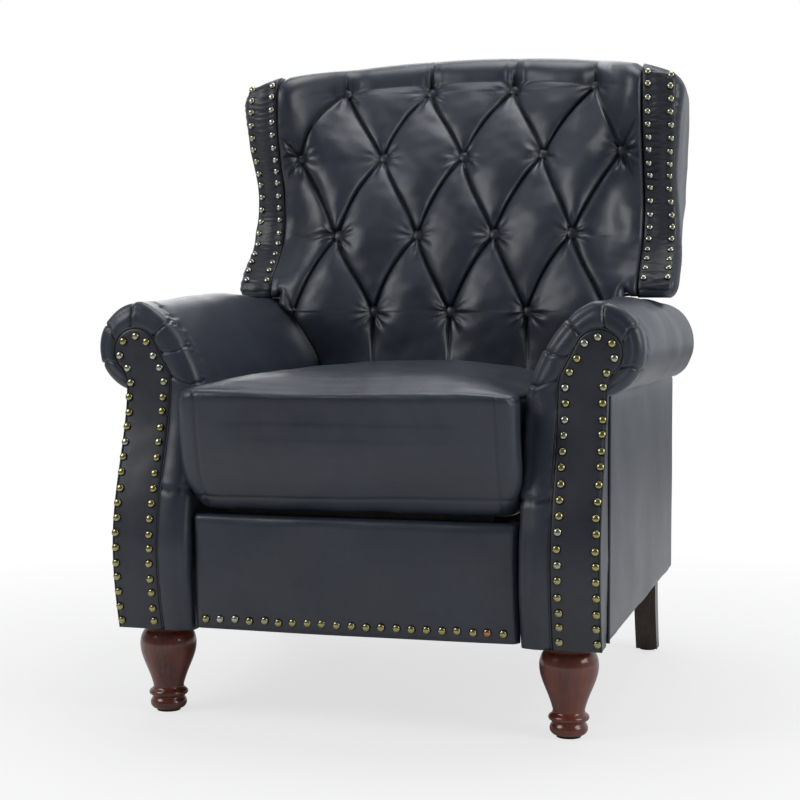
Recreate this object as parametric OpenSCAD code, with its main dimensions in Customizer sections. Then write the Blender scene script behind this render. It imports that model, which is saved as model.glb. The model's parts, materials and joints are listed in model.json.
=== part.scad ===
// Push-back recliner armchair: rolled arms, a tufted winged back that reclines,
// a seat that slides forward with it, and a footrest on a steel linkage.
// X is across the chair, the front faces -Y, and Z is up from the floor.

/* [Overall] */
// Clear width between the two arms
seat_gap = 476; // [440:2:520]
// Height of the upholstered body above the floor
leg_h = 128; // [100:1:150]
// Height of the arms at the top of the roll
arm_h = 598; // [570:1:630]
// Height of the back at its middle
back_h = 1040; // [1010:1:1080]
// Rear end of the arms, behind the origin
arm_rear = 405; // [390:1:430]

/* [Arms] */
// Thickness of an arm below the roll
arm_w = 112; // [104:1:124]
// Radius of the rolled top of an arm
roll_r = 71; // [64:1:76]
// How far the roll's centre lies inside the outer face
roll_inset = 46; // [40:1:50]
// Mean distance of the front face from the origin
front_mid = 385; // [375:1:400]
// Half the forward swing of the curved front face
front_swing = 27; // [16:1:30]
// Thickness of the leather facing on the front
facing_t = 5; // [3:0.5:6]
// How far the nailed front panel stands proud
panel_proud = 3; // [1:0.5:5]
// Margin of the front panel from the arm's inner face
panel_margin = 45; // [40:1:50]
// Radius of the front panel's round head
head_r = 44; // [38:1:46]
// Width of the piping round the front panel
piping_w = 3.2; // [2:0.2:4]
// Thickness of the padding on the inner side of an arm
arm_pad_t = 12; // [10:1:16]
// Thickness of the outer side panel
side_panel_t = 6.5; // [5:0.5:9]

/* [Seat] */
// Height of the underside of the cushion
cushion_low = 302; // [300:1:310]
// Height of the cushion's front edge seam
cushion_edge = 465; // [440:1:475]
// Height of the cushion's crown
cushion_top = 511; // [490:1:520]
// Front edge of the cushion at its foot
cushion_foot = 385; // [370:1:392]
// How far the cushion's front leans out
cushion_lean = 60; // [30:1:65]
// Rear end of the cushion
cushion_rear = 139; // [120:1:140]
// Gap between a soft piece and its neighbour
soft_gap = 5; // [3:1:8]

/* [Back] */
// Lean of the outside of the back, in degrees
lean = 9.5; // [8:0.5:11]
// Thickness of the outside cover
cover_t = 5; // [3:0.5:7]
// Depth of the timbers of the back frame
frame_t = 38; // [32:1:42]
// Thickness of the pillows of the tufted pad
tuft = 26; // [16:1:30]
// Half width of the back above the arms
wing_x = 388; // [376:1:396]
// Half width of the tufted pad above the arms
pad_x = 318; // [310:1:322]
// Clearance between the wings and the arms
wing_gap = 17; // [15:1:24]
// Width of the nailed band on a wing
band_w = 48; // [44:1:52]

/* [Footrest] */
// Half width of the footrest panel
rest_x = 233; // [225:1:234]
// Height of the panel's lower edge
rest_low = 132; // [130:1:140]
// Height of the panel's upper edge
rest_top = 297; // [285:1:298]
// Thickness of the footrest board
board_t = 10; // [8:1:12]
// Front of the footrest board
board_front = 380; // [376:1:381]

/* [Legs] */
// Largest radius of a front leg
leg_r = 41; // [36:1:43]
// Radius of a front leg's neck
neck_r = 22; // [18:1:26]
// Side of a rear leg
rear_leg_w = 36; // [30:1:40]
// Distance of a front leg from the middle
leg_x = 297; // [290:1:300]
// Distance of a front leg in front of the origin
leg_front = 341; // [336:1:344]

/* [Fasteners] */
// Radius of a decorative nail's head
nail_r = 5.4; // [4:0.2:6]
// Spacing of the decorative nails
nail_pitch = 21.5; // [17:0.5:26]
// Radius of a covered button
button_r = 11; // [9:0.5:13]
// Radius of the pins of the linkages
pin_r = 4; // [3:0.5:5]
// Radius of the bolts and screws
bolt_r = 3; // [2.5:0.5:4]

/* [Hidden] */
$fn = 48;

slit = 0.3;      // parts that may rub stay this far apart
run = 0.05;      // running clearance of a pin in its bore
inner_x = seat_gap / 2;
outer_x = inner_x + arm_w;
roll_x = outer_x - roll_inset;
roll_z = arm_h - roll_r;
frame_x = inner_x + arm_pad_t;

// ---------- helpers ----------

module pair() {
    children();
    mirror([1, 0, 0]) children();
}

// An outline drawn in (X, Z), from y0 to y1
module along_y(y0, y1) translate([0, y1, 0]) rotate([90, 0, 0]) linear_extrude(y1 - y0) children();

// An outline drawn in (Y, Z), from x0 to x1
module along_x(x0, x1) translate([x0, 0, 0]) rotate([90, 0, 90]) linear_extrude(x1 - x0) children();

module block(low, high) translate(low) cube(high - low);

module rod_x(x0, x1, y, z, r) translate([x0, y, z]) rotate([0, 90, 0]) cylinder(r = r, h = x1 - x0);

// A strip of steel between two points of (Y, Z), with round eyes a little wider than the strip
module strip(p, q, w) {
    d = (q - p) / norm(q - p);
    n = [-d[1], d[0]] * (w / 2 - 1);
    translate(p) circle(r = w / 2);
    translate(q) circle(r = w / 2);
    polygon([p + n, q + n, q - n, p - n]);
}
module bar(p, q, x0, t, w) along_x(x0, x0 + t) strip(p, q, w);
module rect(low, high) translate(low) square(high - low);

// Joins rings of equal length, each a list of points, into one closed solid
module skin(rings) {
    n = len(rings[0]);
    m = len(rings);
    polyhedron(
        points = [for (ring = rings) for (p = ring) p],
        faces = concat(
            [[for (i = [0 : n - 1]) i]],
            [for (j = [0 : m - 2]) for (i = [0 : n - 1]) each
                let (a = j * n + i, b = j * n + (i + 1) % n)
                [[b, a, a + n], [b, a + n, b + n]]],
            [[for (i = [n - 1 : -1 : 0]) (m - 1) * n + i]]));
}

// A wire of radius r through points that lie in a plane with the given normal
function wire_ring(p, t, normal, r, n) =
    let (side = cross(t, normal))
    [for (i = [0 : n - 1]) p + r * (cos(360 * i / n) * side + sin(360 * i / n) * normal)];
module wire(points, normal, r, n = 6) {
    last = len(points) - 1;
    skin([for (i = [0 : last])
        let (d = points[min(i + 1, last)] - points[max(i - 1, 0)])
        wire_ring(points[i], d / norm(d), normal, r, n)]);
}

// A domed nail head with its shank, pointing along the given direction
module nail(at, dir) {
    tilt = acos(dir[2] / norm(dir));
    turn = atan2(dir[1], dir[0]);
    dome = nail_r * 0.55;
    ball = (nail_r * nail_r + dome * dome) / (2 * dome);
    translate(at) rotate([0, tilt, turn]) {
        intersection() {
            translate([0, 0, dome - ball]) sphere(r = ball);
            cylinder(r = nail_r + 1, h = dome + 1);
        }
        translate([0, 0, -5]) cylinder(r = 0.9, h = 5.2);
    }
}

// ---------- arms ----------

bulge_z = 250;                  // height at which the front face bulges most
neck_z = 490;                   // height of its neck
foot_swing = 285;               // half wave of the curve below the bulge

function front_phase(z) = z < bulge_z
    ? (bulge_z - z) / foot_swing
    : min(1, (z - bulge_z) / (neck_z - bulge_z));
function front_y(z) = -(front_mid + front_swing * cos(180 * front_phase(z)));
function front_slope(z) = (front_y(z + 2) - front_y(z - 2)) / 4;

front_steps = 30;
function front_heights() = [for (i = [0 : front_steps])
    leg_h - 2 + (arm_h + 4 - leg_h) * i / front_steps];

// Everything behind the front face moved back by d
module front_profile(d) polygon(concat(
    [for (z = front_heights()) [front_y(z) + d, z]],
    [[arm_rear, arm_h + 2], [arm_rear, leg_h - 2]]));

// A skin that follows the front face, from depth d0 to depth d1
module front_skin(d0, d1) polygon(concat(
    [for (z = front_heights()) [front_y(z) + d0, z]],
    [for (i = [front_steps : -1 : 0]) let (z = front_heights()[i]) [front_y(z) + d1, z]]));

module arm_outline() {
    translate([inner_x, leg_h]) square([arm_w, roll_z - leg_h]);
    translate([roll_x, roll_z]) circle(r = roll_r);
}

panel_in = inner_x + panel_margin;
panel_out = outer_x - 1;
head_x = panel_in + head_r - 1;
head_z = roll_z - 12;

module panel_outline(grow) {
    translate([panel_in - grow, leg_h + 1]) square([panel_out - panel_in + grow, head_z - leg_h - 1]);
    translate([head_x, head_z]) circle(r = head_r + grow);
}

block_top = leg_h + 42;
post_front = -336;               // front face of the front posts
pocket_top = roll_z - 55;        // top of the space for the timbers
block_front = -(front_mid - 8);

module arm_pad() color("#353b47") difference() {
    intersection() {
        along_y(-front_mid - front_swing - 5, arm_rear) arm_outline();
        along_x(inner_x - 10, outer_x + 40) front_profile(facing_t);
    }
    block([frame_x, block_front, leg_h - 1], [outer_x - side_panel_t, 0, block_top]);
    block([frame_x, post_front, leg_h - 1], [outer_x + 1, arm_rear - 9, pocket_top]);
    screw_bores();
}
module arm_pad_right() arm_pad();
module arm_pad_left() mirror([1, 0, 0]) arm_pad();

module outer_side_panels() color("#3c424d") pair()
    block([outer_x - side_panel_t, post_front, leg_h + 1], [outer_x, arm_rear - 9, pocket_top]);

module front_bands() color("#31374a") pair() intersection() {
    along_x(inner_x - 10, outer_x + 40) front_skin(0, facing_t);
    along_y(-front_mid - front_swing - 5, 0) difference() {
        arm_outline();
        panel_outline(0);
    }
}

module front_panel() color("#30363f") intersection() {
    along_x(inner_x, outer_x + 40) front_skin(-panel_proud, facing_t);
    along_y(-front_mid - front_swing - 15, 0) panel_outline(-0.1);
}
module front_panel_right() front_panel();
module front_panel_left() mirror([1, 0, 0]) front_panel();

module panel_piping() color("#23272f") pair() intersection() {
    along_x(inner_x, outer_x + 40) front_skin(-panel_proud - 1, 0);
    along_y(-front_mid - front_swing - 15, 0) intersection() {
        difference() {
            panel_outline(piping_w);
            panel_outline(0.1);
        }
        arm_outline();
    }
}

// The nails follow the panel's edge: up the inner side, round the head, down the outer side
nail_in = 11;                    // distance of the nails from the panel's edge
arc_r = head_r - nail_in;
col_in = panel_in + nail_in;
col_out = panel_out - nail_in;
arc_start = 180;
arc_end = -acos((col_out - head_x) / arc_r);
col_low = leg_h + 12;
run_up = head_z - col_low;
run_arc = (arc_start - arc_end) * PI / 180 * arc_r;
run_down = head_z + arc_r * sin(arc_end) - col_low;
run_all = run_up + run_arc + run_down;
nail_count = round(run_all / nail_pitch);

function nail_at(s) = s < run_up
    ? [col_in, col_low + s]
    : s < run_up + run_arc
        ? let (a = arc_start - (s - run_up) / arc_r * 180 / PI)
            [head_x + arc_r * cos(a), head_z + arc_r * sin(a)]
        : [col_out, col_low + run_down - (s - run_up - run_arc)];

module arm_nails() color("#a08c58") pair() for (i = [0 : nail_count]) {
    p = nail_at(run_all * i / nail_count);
    nail([p[0], front_y(p[1]) - panel_proud - 0.1, p[1]], [0, -1, front_slope(p[1])]);
}

// Timbers in the arm
post_w = 40;
rail_w = 22;
rear_post = arm_rear - 75;       // front face of the rear posts
module timber(low, high) color("#c9a26e") difference() {
    pair() block(low, high);
    screw_bores();
}
module arm_front_posts() timber([frame_x, post_front, block_top], [frame_x + post_w, post_front + 36, pocket_top]);
module arm_rear_posts() timber([frame_x, rear_post, leg_h + 1], [frame_x + post_w, arm_rear - 9, pocket_top]);
module arm_bottom_rails() timber([frame_x, post_front + 38, leg_h + 1], [frame_x + rail_w, rear_post, block_top]);
module arm_mid_rails() timber([frame_x, post_front + 36, roller_z - 21], [frame_x + rail_w, rear_post, roller_z + 21]);
module arm_top_rails() timber([frame_x, post_front + 36, pocket_top - 42], [frame_x + rail_w, rear_post, pocket_top]);

rear_leg_x = outer_x - side_panel_t - 4 - rear_leg_w / 2;
rear_leg_top = 274;              // where a rear leg meets its block
rear_leg_rake = 28;              // how far its foot lies behind its top
module corner_blocks() color("#b98f5c") pair() {
    difference() {
        block([frame_x, block_front, leg_h], [outer_x - side_panel_t, post_front + 38, block_top]);
        leg_bore(leg_x, -leg_front);
    }
    difference() {
        block([frame_x + rail_w, rear_leg_top - 32, leg_h],
            [outer_x - side_panel_t, rear_leg_top + 32, block_top]);
        leg_bore(rear_leg_x, rear_leg_top);
    }
}

module cross_rail() color("#c9a26e") difference() {
    block([-inner_x, -20, leg_h + 4], [inner_x, 10, leg_h + 42]);
    screw_bores();
}

module rear_apron() color("#353b47")
    block([-inner_x, arm_rear - 36, leg_h], [inner_x, arm_rear - 14, leg_h + 64]);

// ---------- legs ----------

bolt_up = 34;                    // how far a leg bolt enters its block
bolt_down = 30;                  // and its leg
leg_bolt_r = 4;
glide_t = 3;
module leg_bore(x, y) translate([x, y, leg_h - bolt_down - 1])
    cylinder(r = leg_bolt_r + run, h = bolt_up + bolt_down + 1);

// Radius of a turned front leg at share t of its height
module front_leg() color("#4b231e") difference() {
    rotate_extrude($fn = 64) polygon(concat(
        [[0, glide_t], [neck_r - 3, glide_t]],
        [for (a = [-70 : 20 : 50]) [neck_r + 1.5 + 5 * cos(a), 12.5 + 8 * sin(a)]],
        [for (a = [-40 : 20 : 60]) [neck_r + 1.5 + 5.5 * cos(a), 27 + 6.5 * sin(a)]],
        [for (i = [0 : 16]) let (t = i / 16)
            [neck_r + (leg_r - neck_r) * pow(sin(90 * min(1, t * 1.12)), 1.5), 36 + (leg_h - 58) * t]],
        [for (a = [10 : 12 : 70]) [leg_r - 9 + 9 * cos(a), leg_h - 22 + 17 * sin(a)]],
        [[leg_r - 8, leg_h], [0, leg_h]]));
    translate([0, 0, -leg_h / 2]) leg_bore(0, 0);
    translate([0, 0, leg_h - bolt_down]) cylinder(r = leg_bolt_r + run, h = bolt_down + 1);
}
module front_legs() pair() translate([leg_x, -leg_front, 0]) front_leg();

rear_foot = rear_leg_top + rear_leg_rake;
module rear_legs() color("#3d2b25") pair() difference() {
    along_x(rear_leg_x - rear_leg_w / 2, rear_leg_x + rear_leg_w / 2) polygon(concat(
        [for (i = [0 : 8]) let (t = i / 8)
            [rear_foot - rear_leg_w / 2 + 3 - (rear_leg_rake + 3) * sin(90 * t), glide_t + (leg_h - glide_t) * t]],
        [for (i = [8 : -1 : 0]) let (t = i / 8)
            [rear_foot + rear_leg_w / 2 - 3 - (rear_leg_rake - 3) * sin(90 * t), glide_t + (leg_h - glide_t) * t]]));
    leg_bore(rear_leg_x, rear_leg_top);
}

module leg_bolts() color("#8b8f94") pair() {
    for (p = [[leg_x, -leg_front], [rear_leg_x, rear_leg_top]])
        translate([p[0], p[1], leg_h - bolt_down + 1]) cylinder(r = leg_bolt_r, h = bolt_up + bolt_down - 4);
}

module leg_glides() color("#1e1e20") pair() {
    translate([leg_x, -leg_front, 0]) cylinder(r = neck_r - 5, h = glide_t);
    translate([rear_leg_x, rear_foot, 0]) cylinder(r = rear_leg_w / 2 - 5, h = glide_t);
}

// ---------- the linkage planes, from the arm inwards ----------

link_t = 3.5;                    // thickness of a link
link_w = 22;                     // width of a link
plane_step = 6.5;                // from one link's plane to the next
channel_web = 2.5;
roller_w = 6.5;
plate_x = inner_x - 15;          // inner face of the seat plate
rear_link_x = plate_x - plane_step;
lower_link_x = rear_link_x - plane_step;
front_link_x = lower_link_x - plane_step;
upper_link_x = front_link_x - plane_step;
rail_x = upper_link_x - 3;       // outer face of the seat's side rails

// Pivots of the closed footrest linkage, as [Y, Z]
pivot_a = [-219, 232];
pivot_b = [-315, 264];
pivot_m = [-196, 178];
pivot_e = [-100, 145];
pivot_f = [-160, 151];
pivot_c = [-354, 233];
pivot_d = [-348, 163];

// A rivet with heads outside x0 and x1 and collars in the gaps
module rivet(x0, x1, p, r) {
    rod_x(x0 - 1.8, x1 + 1.8, p[0], p[1], pin_r);
    rod_x(x0 - 1.8, x0 - run, p[0], p[1], r);
    rod_x(x1 + run, x1 + 1.8, p[0], p[1], r);
}
module collar(x0, x1, p) rod_x(x0 + run, x1 - run, p[0], p[1], pin_r + 3.5);
module bore(p, play = run) rod_x(0, inner_x + 20, p[0], p[1], pin_r + play);

// Play of the pivots that close a loop: where their pins drift to in mid travel
play_e = [0.3, -0.55];
play_drag = [1.4, 1.9];
slot_d = [10.9, -8.9];           // the upper links' pins run in slots of the footrest brackets

// ---------- seat body ----------

plate_low = 226;
plate_top = 264;
roller_r = 12;
roller_z = (plate_low + plate_top) / 2;
roller_front = -288;
roller_rear = 80;
seat_travel = 60;
drag_seat = [130, 238];          // where the drag link meets the seat plate
pivot = [330, 340];              // axis on which the back turns
drag_back = [300, 215];          // where the drag link meets the back plate

seat_front = -352;
seat_rear = 112;
rail_low = 248;
rail_top = 286;
rail_t = 22;

module seat_channels() color("#6d7176") pair() difference() {
    half = roller_r + slit + channel_web;
    block([inner_x - 9.5, roller_front - seat_travel - 14, roller_z - half],
        [inner_x, roller_rear + 20, roller_z + half]);
    block([inner_x - 11, roller_front - seat_travel - 15, roller_z - roller_r - slit],
        [inner_x - channel_web, roller_rear + 21, roller_z + roller_r + slit]);
    screw_bores();
}

module seat_rollers() color("#d8d8d2") pair() for (y = [roller_front, roller_rear]) difference() {
    rod_x(inner_x - channel_web - slit - roller_w, inner_x - channel_web - slit, y, roller_z, roller_r);
    bore([y, roller_z]);
}

module roller_axles() color("#9a9da0") pair() for (y = [roller_front, roller_rear]) {
    rod_x(plate_x - 1.8, inner_x - channel_web - slit, y, roller_z, pin_r);
    rod_x(plate_x - 1.8, plate_x - run, y, roller_z, pin_r + 3);
    rod_x(plate_x + link_t + run, inner_x - channel_web - slit - roller_w - run, y, roller_z, pin_r + 2);
}

module seat_plates() color("#54585d") pair() difference() {
    along_x(plate_x, plate_x + link_t) {
        rect([seat_front, plate_low], [seat_rear + 5, plate_top]);
        strip([seat_rear - 12, drag_seat[1]], drag_seat, link_w);
        strip(pivot_a + [0, 14], pivot_a, link_w);
        strip(pivot_b + [0, -14], pivot_b, link_w);
    }
    bore(pivot_a);
    bore(pivot_b);
    bore(drag_seat);
    bore([roller_front, roller_z]);
    bore([roller_rear, roller_z]);
}

module plate_spacers() color("#c9a26e") pair() for (y = [-40, 50])
    block([rail_x, y, rail_low + 1], [plate_x, y + 22, plate_top + 2]);

module seat_side_rails() color("#c9a26e") pair()
    block([rail_x - rail_t, seat_front, rail_low], [rail_x, seat_rear, rail_top]);
module seat_end_rails() color("#c9a26e") {
    block([-rail_x + rail_t, seat_front, rail_low], [rail_x - rail_t, seat_front + rail_t, rail_top]);
    block([-rail_x + rail_t, seat_rear - rail_t, rail_low], [rail_x - rail_t, seat_rear, rail_top]);
}

// Zigzag springs from the front rail to the rear rail
wire_r = 1.8;
spring_n = 4;
spring_swing = 20;
spring_z = rail_top + wire_r;
spring_turns = 7;
spring_steps = 6;                // points in each turn
function spring_x(i) = (i - (spring_n - 1) / 2) * 88;
module seat_springs() color("#7c8085") for (i = [0 : spring_n - 1]) {
    y0 = seat_front + 22;
    y1 = seat_rear - 22;
    n = spring_turns * spring_steps;
    wire(concat([[spring_x(i), seat_front + 2, spring_z]],
        [for (k = [0 : n]) [spring_x(i) + spring_swing * sin(360 * k / spring_steps),
            y0 + (y1 - y0) * k / n, spring_z]],
        [[spring_x(i), seat_rear - 2, spring_z]]), [0, 0, 1], wire_r);
}
clip_h = 2;
module spring_clips() color("#4a4d52") for (i = [0 : spring_n - 1]) for (y = [seat_front, seat_rear])
    difference() {
        middle = y + (y < 0 ? 11 : -11);
        block([spring_x(i) - 9, middle - 7, rail_top], [spring_x(i) + 9, middle + 7, rail_top + 2 * wire_r + clip_h]);
        block([spring_x(i) - wire_r - run, middle - 8, rail_top - 1],
            [spring_x(i) + wire_r + run, middle + 8, rail_top + 2 * wire_r + run]);
    }

deck_low = rail_top + 2 * wire_r + clip_h + slit;
module seat_deck() color("#8d8578")
    block([-rail_x, seat_front, deck_low], [rail_x, seat_rear, cushion_low - slit]);

cushion_x = inner_x - soft_gap;
cushion_nose = cushion_foot + cushion_lean;
crown = cushion_top - cushion_edge;
module seat_cushion() color("#3e4551") intersection() {
    along_x(-cushion_x, cushion_x) polygon(concat(
        [[cushion_rear, cushion_low], [-cushion_foot, cushion_low]],
        [for (i = [0 : 8]) let (t = i / 8)
            [-cushion_foot - cushion_lean * pow(t, 0.8), cushion_low + 4 + (cushion_edge - 14 - cushion_low) * t]],
        [for (i = [1 : 8]) let (a = 90 * i / 8)
            [-cushion_nose + 118 * (1 - cos(a)), cushion_edge - 10 + (crown + 10) * sin(a)]],
        [[cushion_rear, cushion_top - 8]]));
    along_y(-cushion_nose - 1, cushion_rear) polygon(concat(
        [[-cushion_x, cushion_low], [cushion_x, cushion_low]],
        [for (i = [0 : 12]) let (a = 90 * i / 12)
            [cushion_x - 110 * (1 - cos(a)), cushion_edge - 6 + (crown + 6) * sin(a)]],
        [for (i = [12 : -1 : 0]) let (a = 90 * i / 12)
            [-cushion_x + 110 * (1 - cos(a)), cushion_edge - 6 + (crown + 6) * sin(a)]]));
}

module seat_rivets() color("#9a9da0") pair() {
    rivet(rear_link_x, plate_x + link_t, pivot_a, 7.5);
    collar(rear_link_x + link_t, plate_x, pivot_a);
    rivet(front_link_x, plate_x + link_t, pivot_b, 7.5);
    collar(front_link_x + link_t, plate_x, pivot_b);
    rivet(drag_x, plate_x + link_t, drag_seat, 8.5);
}

// ---------- footrest linkage ----------

module rear_links() color("#5d6166") pair() difference() {
    bar(pivot_a, pivot_e, rear_link_x, link_t, link_w);
    bore(pivot_a);
    bore(pivot_e + play_e, 0.85);
}
module front_links() color("#5d6166") pair() difference() {
    bar(pivot_b, pivot_f, front_link_x, link_t, link_w);
    bore(pivot_b);
    bore(pivot_m);
    bore(pivot_f);
}
module front_link_rivets() color("#9a9da0") pair() {
    rivet(front_link_x, lower_link_x + link_t, pivot_m, 7.5);
    collar(front_link_x + link_t, lower_link_x, pivot_m);
    rivet(upper_link_x, front_link_x + link_t, pivot_f, 7.5);
    collar(upper_link_x + link_t, front_link_x, pivot_f);
}
module lower_links() color("#5d6166") pair() difference() {
    bar(pivot_e, pivot_c, lower_link_x, link_t, link_w);
    bore(pivot_e);
    bore(pivot_m);
    bore(pivot_c);
}
module lower_link_rivets() color("#9a9da0") pair() {
    rivet(lower_link_x, rear_link_x + link_t, pivot_c, 7.5);
    collar(lower_link_x + link_t, rear_link_x, pivot_c);
    rivet(lower_link_x, rear_link_x + link_t, pivot_e, 7.5);
    collar(lower_link_x + link_t, rear_link_x, pivot_e);
}
module upper_links() color("#5d6166") pair() difference() {
    bar(pivot_f, pivot_d, upper_link_x, link_t, link_w);
    bore(pivot_f);
    bore(pivot_d);
}
module upper_link_rivets() color("#9a9da0") pair() {
    rivet(upper_link_x, rear_link_x + link_t, pivot_d, 8.5);
    collar(upper_link_x + link_t, rear_link_x, pivot_d);
}

// ---------- footrest ----------

board_rear = board_front - board_t;
module footrest_board() color("#c9a26e")
    block([-rest_x + 6, -board_front, rest_low + 5], [rest_x - 6, -board_rear, rest_top - 5]);

rest_nose = 20;                  // how far the pad's top stands in front of the board
rest_foot = 11;                  // and its foot
module footrest_pad() color("#353b47") difference() {
    along_x(-rest_x, rest_x) polygon(concat(
        [[-board_rear, rest_low]],
        [for (i = [0 : 6]) let (a = 90 * i / 6)
            [-board_front - rest_foot + 6 - 6 * sin(a), rest_low + 6 - 6 * cos(a)]],
        [for (i = [0 : 6]) let (a = 90 * i / 6)
            [-board_front - rest_nose + 9 - 9 * cos(a), rest_top - 9 + 9 * sin(a)]],
        [[-board_rear, rest_top]]));
    block([-rest_x + 6, -board_front, rest_low + 5], [rest_x - 6, -board_rear + 1, rest_top - 5]);
}
rest_nail_z = rest_low + 15;
rest_nails = round(2 * (rest_x - 19) / nail_pitch);
function rest_face(z) = -board_front - rest_foot - (rest_nose - rest_foot) * (z - rest_low - 6) / (rest_top - 9 - rest_low - 6);
module footrest_nails() color("#a08c58") for (i = [0 : rest_nails])
    nail([-(rest_x - 19) + 2 * (rest_x - 19) * i / rest_nails, rest_face(rest_nail_z) - 0.1, rest_nail_z],
        [0, -1, -0.06]);

module footrest_brackets() color("#5d6166") pair() difference() {
    union() {
        along_x(rear_link_x, rear_link_x + link_t) {
            strip(pivot_c, pivot_d, link_w);
            strip(pivot_d, pivot_d + slot_d, link_w + 4);
            rect([-board_rear, pivot_d[1] - 11], [pivot_c[0], pivot_c[1] + 11]);
        }
        block([rear_link_x - 20, -board_rear, pivot_d[1] - 11], [rear_link_x + 1, -board_rear + 3, pivot_c[1] + 11]);
    }
    bore(pivot_c);
    along_x(0, inner_x) strip(pivot_d, pivot_d + slot_d, 2 * pin_r + 4);
}

// ---------- back ----------

cover_z = 560;                   // the outside of the back passes here
cover_y = 375;
function rear_y(z) = cover_y + (z - cover_z) * tan(lean);

// Places a frame whose Z runs up the outside of the back and whose Y is its depth
module on_back() translate([0, cover_y, cover_z]) rotate([-lean, 0, 0]) children();
function up_back(z) = (z - cover_z) / cos(lean);

wing_low = arm_h + wing_gap;
back_low = 240;                  // foot of the back frame
cover_low = 208;                 // foot of the outside cover
frame_top = back_h - 75;
post_x = inner_x - 12;           // outer face of the back posts
back_post_w = 32;

module back_posts() color("#c9a26e") pair() on_back()
    block([post_x - back_post_w, -cover_t - frame_t, up_back(back_low)], [post_x, -cover_t, up_back(frame_top)]);
back_rail_h = 45;
mid_rail = cushion_top - 81;     // foot of the middle rail
module back_rails() color("#c9a26e") on_back() {
    inner = post_x - back_post_w;
    for (z = [back_low, mid_rail, frame_top - back_rail_h])
        block([-inner, -cover_t - frame_t, up_back(z)], [inner, -cover_t, up_back(z) + back_rail_h]);
}
wing_post_x = pad_x - 14;
wing_post_w = 26;
module wing_posts() color("#c9a26e") pair() on_back() {
    block([wing_post_x, -cover_t - frame_t, up_back(wing_low + 8)],
        [wing_post_x + wing_post_w, -cover_t, up_back(frame_top - 10)]);
    for (z = [wing_low + 30, frame_top - 60])
        block([post_x, -cover_t - frame_t, up_back(z)], [wing_post_x, -cover_t, up_back(z) + 40]);
}

// one spring below the middle rail and the others evenly above it
mid_top = mid_rail + back_rail_h;
back_spring_z = concat([(back_low + back_rail_h + mid_rail) / 2],
    [for (k = [1 : 4]) mid_top + (frame_top - back_rail_h - mid_top) * k / 5]);
module back_springs() color("#7c8085") on_back() for (z = back_spring_z) {
    half = post_x - back_post_w;
    n = 36;
    depth = -cover_t - frame_t / 2;
    wire(concat([[-half, depth, up_back(z)]],
        [for (k = [0 : n]) [(half - 12) * (2 * k / n - 1), depth, up_back(z) + 18 * sin(360 * k / 6)]],
        [[half, depth, up_back(z)]]), [0, 1, 0], wire_r);
}

module back_plates() color("#54585d") pair() difference() {
    along_x(post_x, post_x + link_t) {
        strip(drag_back, pivot, 26);
        rect(pivot - [22, 40], pivot + [8, 60]);
    }
    bore(drag_back);
    rod_x(post_x - 1, inner_x, pivot[0], pivot[1], 6 + run);
}

// Buttons lie on a diamond lattice. Row 0 is the lowest.
low_row = cushion_top + 73;
row_z = [for (s = [0, 0.287, 0.59, 0.855]) low_row + s * (back_h - low_row)];
row_pitch = [135, 136, 142, 151];
row_count = [3, 4, 5, 4];
function row_of(z) = z < row_z[0] ? (z - row_z[0]) / (row_z[1] - row_z[0])
    : z < row_z[1] ? (z - row_z[0]) / (row_z[1] - row_z[0])
    : z < row_z[2] ? 1 + (z - row_z[1]) / (row_z[2] - row_z[1])
    : 2 + (z - row_z[2]) / (row_z[3] - row_z[2]);
function pitch_at(z) = lookup(z, [for (i = [0 : 3]) [row_z[i], row_pitch[i]]]);

// Front edge of a wing: an S that comes forward at the top and at the foot, as
// [share of its height, Y]
wing_line = [[0, 150], [0.06, 163], [0.12, 192], [0.2, 225], [0.32, 240], [0.435, 233],
    [0.555, 213], [0.67, 197], [0.79, 195], [0.87, 206], [1, 245]];
function wing_at(s) = wing_low + s * (back_h - wing_low);
function wing_y(z) = lookup((z - wing_low) / (back_h - wing_low), wing_line);

// Depth of the back at its buttons, along the middle and towards the wings
function mid_y(z) = let (t = z - row_z[0]) 182 + 0.169 * t + 0.00063 * t * t;
function ease(t) = let (c = max(0, min(1, t))) c * c * (3 - 2 * c);
function button_y(x, z) =
    let (m = mid_y(z) - 0.00045 * x * x * ease((z - 500) / 84), w = ease((abs(x) - 200) / (pad_x - 200)) * ease((z - 560) / 60))
    m * (1 - w) + (wing_y(z) + tuft * 0.6) * w;

// Height of the pillows between the buttons, as a share of the tufting
function pillow(x, z) =
    let (v = row_of(z), u = x / pitch_at(z), c = max(0, min(3, v)),
        near = ease((abs(u) - 2) / 0.4),
        h = (abs(sin(180 * (u + c / 2))) + abs(sin(180 * (u - c / 2)))) / 2)
    h * (1 - near) + 0.75 * near;
function pad_y(x, z) = button_y(x, z) - tuft * pillow(x, z);

pad_low = 300;
pad_nu = 34;
pad_nz = 40;
back_round = 42;                 // radius of the rolled top edge
function top_z(x) = back_h - 46 * pow(abs(x) / wing_x, 2);
pad_between = inner_x - soft_gap - 3;
function pad_half(z) = z < wing_low + 4 ? pad_between : pad_x;
function pad_heights(top) = [for (j = [0 : pad_nz]) pad_low + (top - back_round - pad_low) * j / pad_nz];
function frame_rear(z) = rear_y(z) - cover_t - (z < frame_top + 26 ? frame_t + 1.5 : 0.5);

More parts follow.
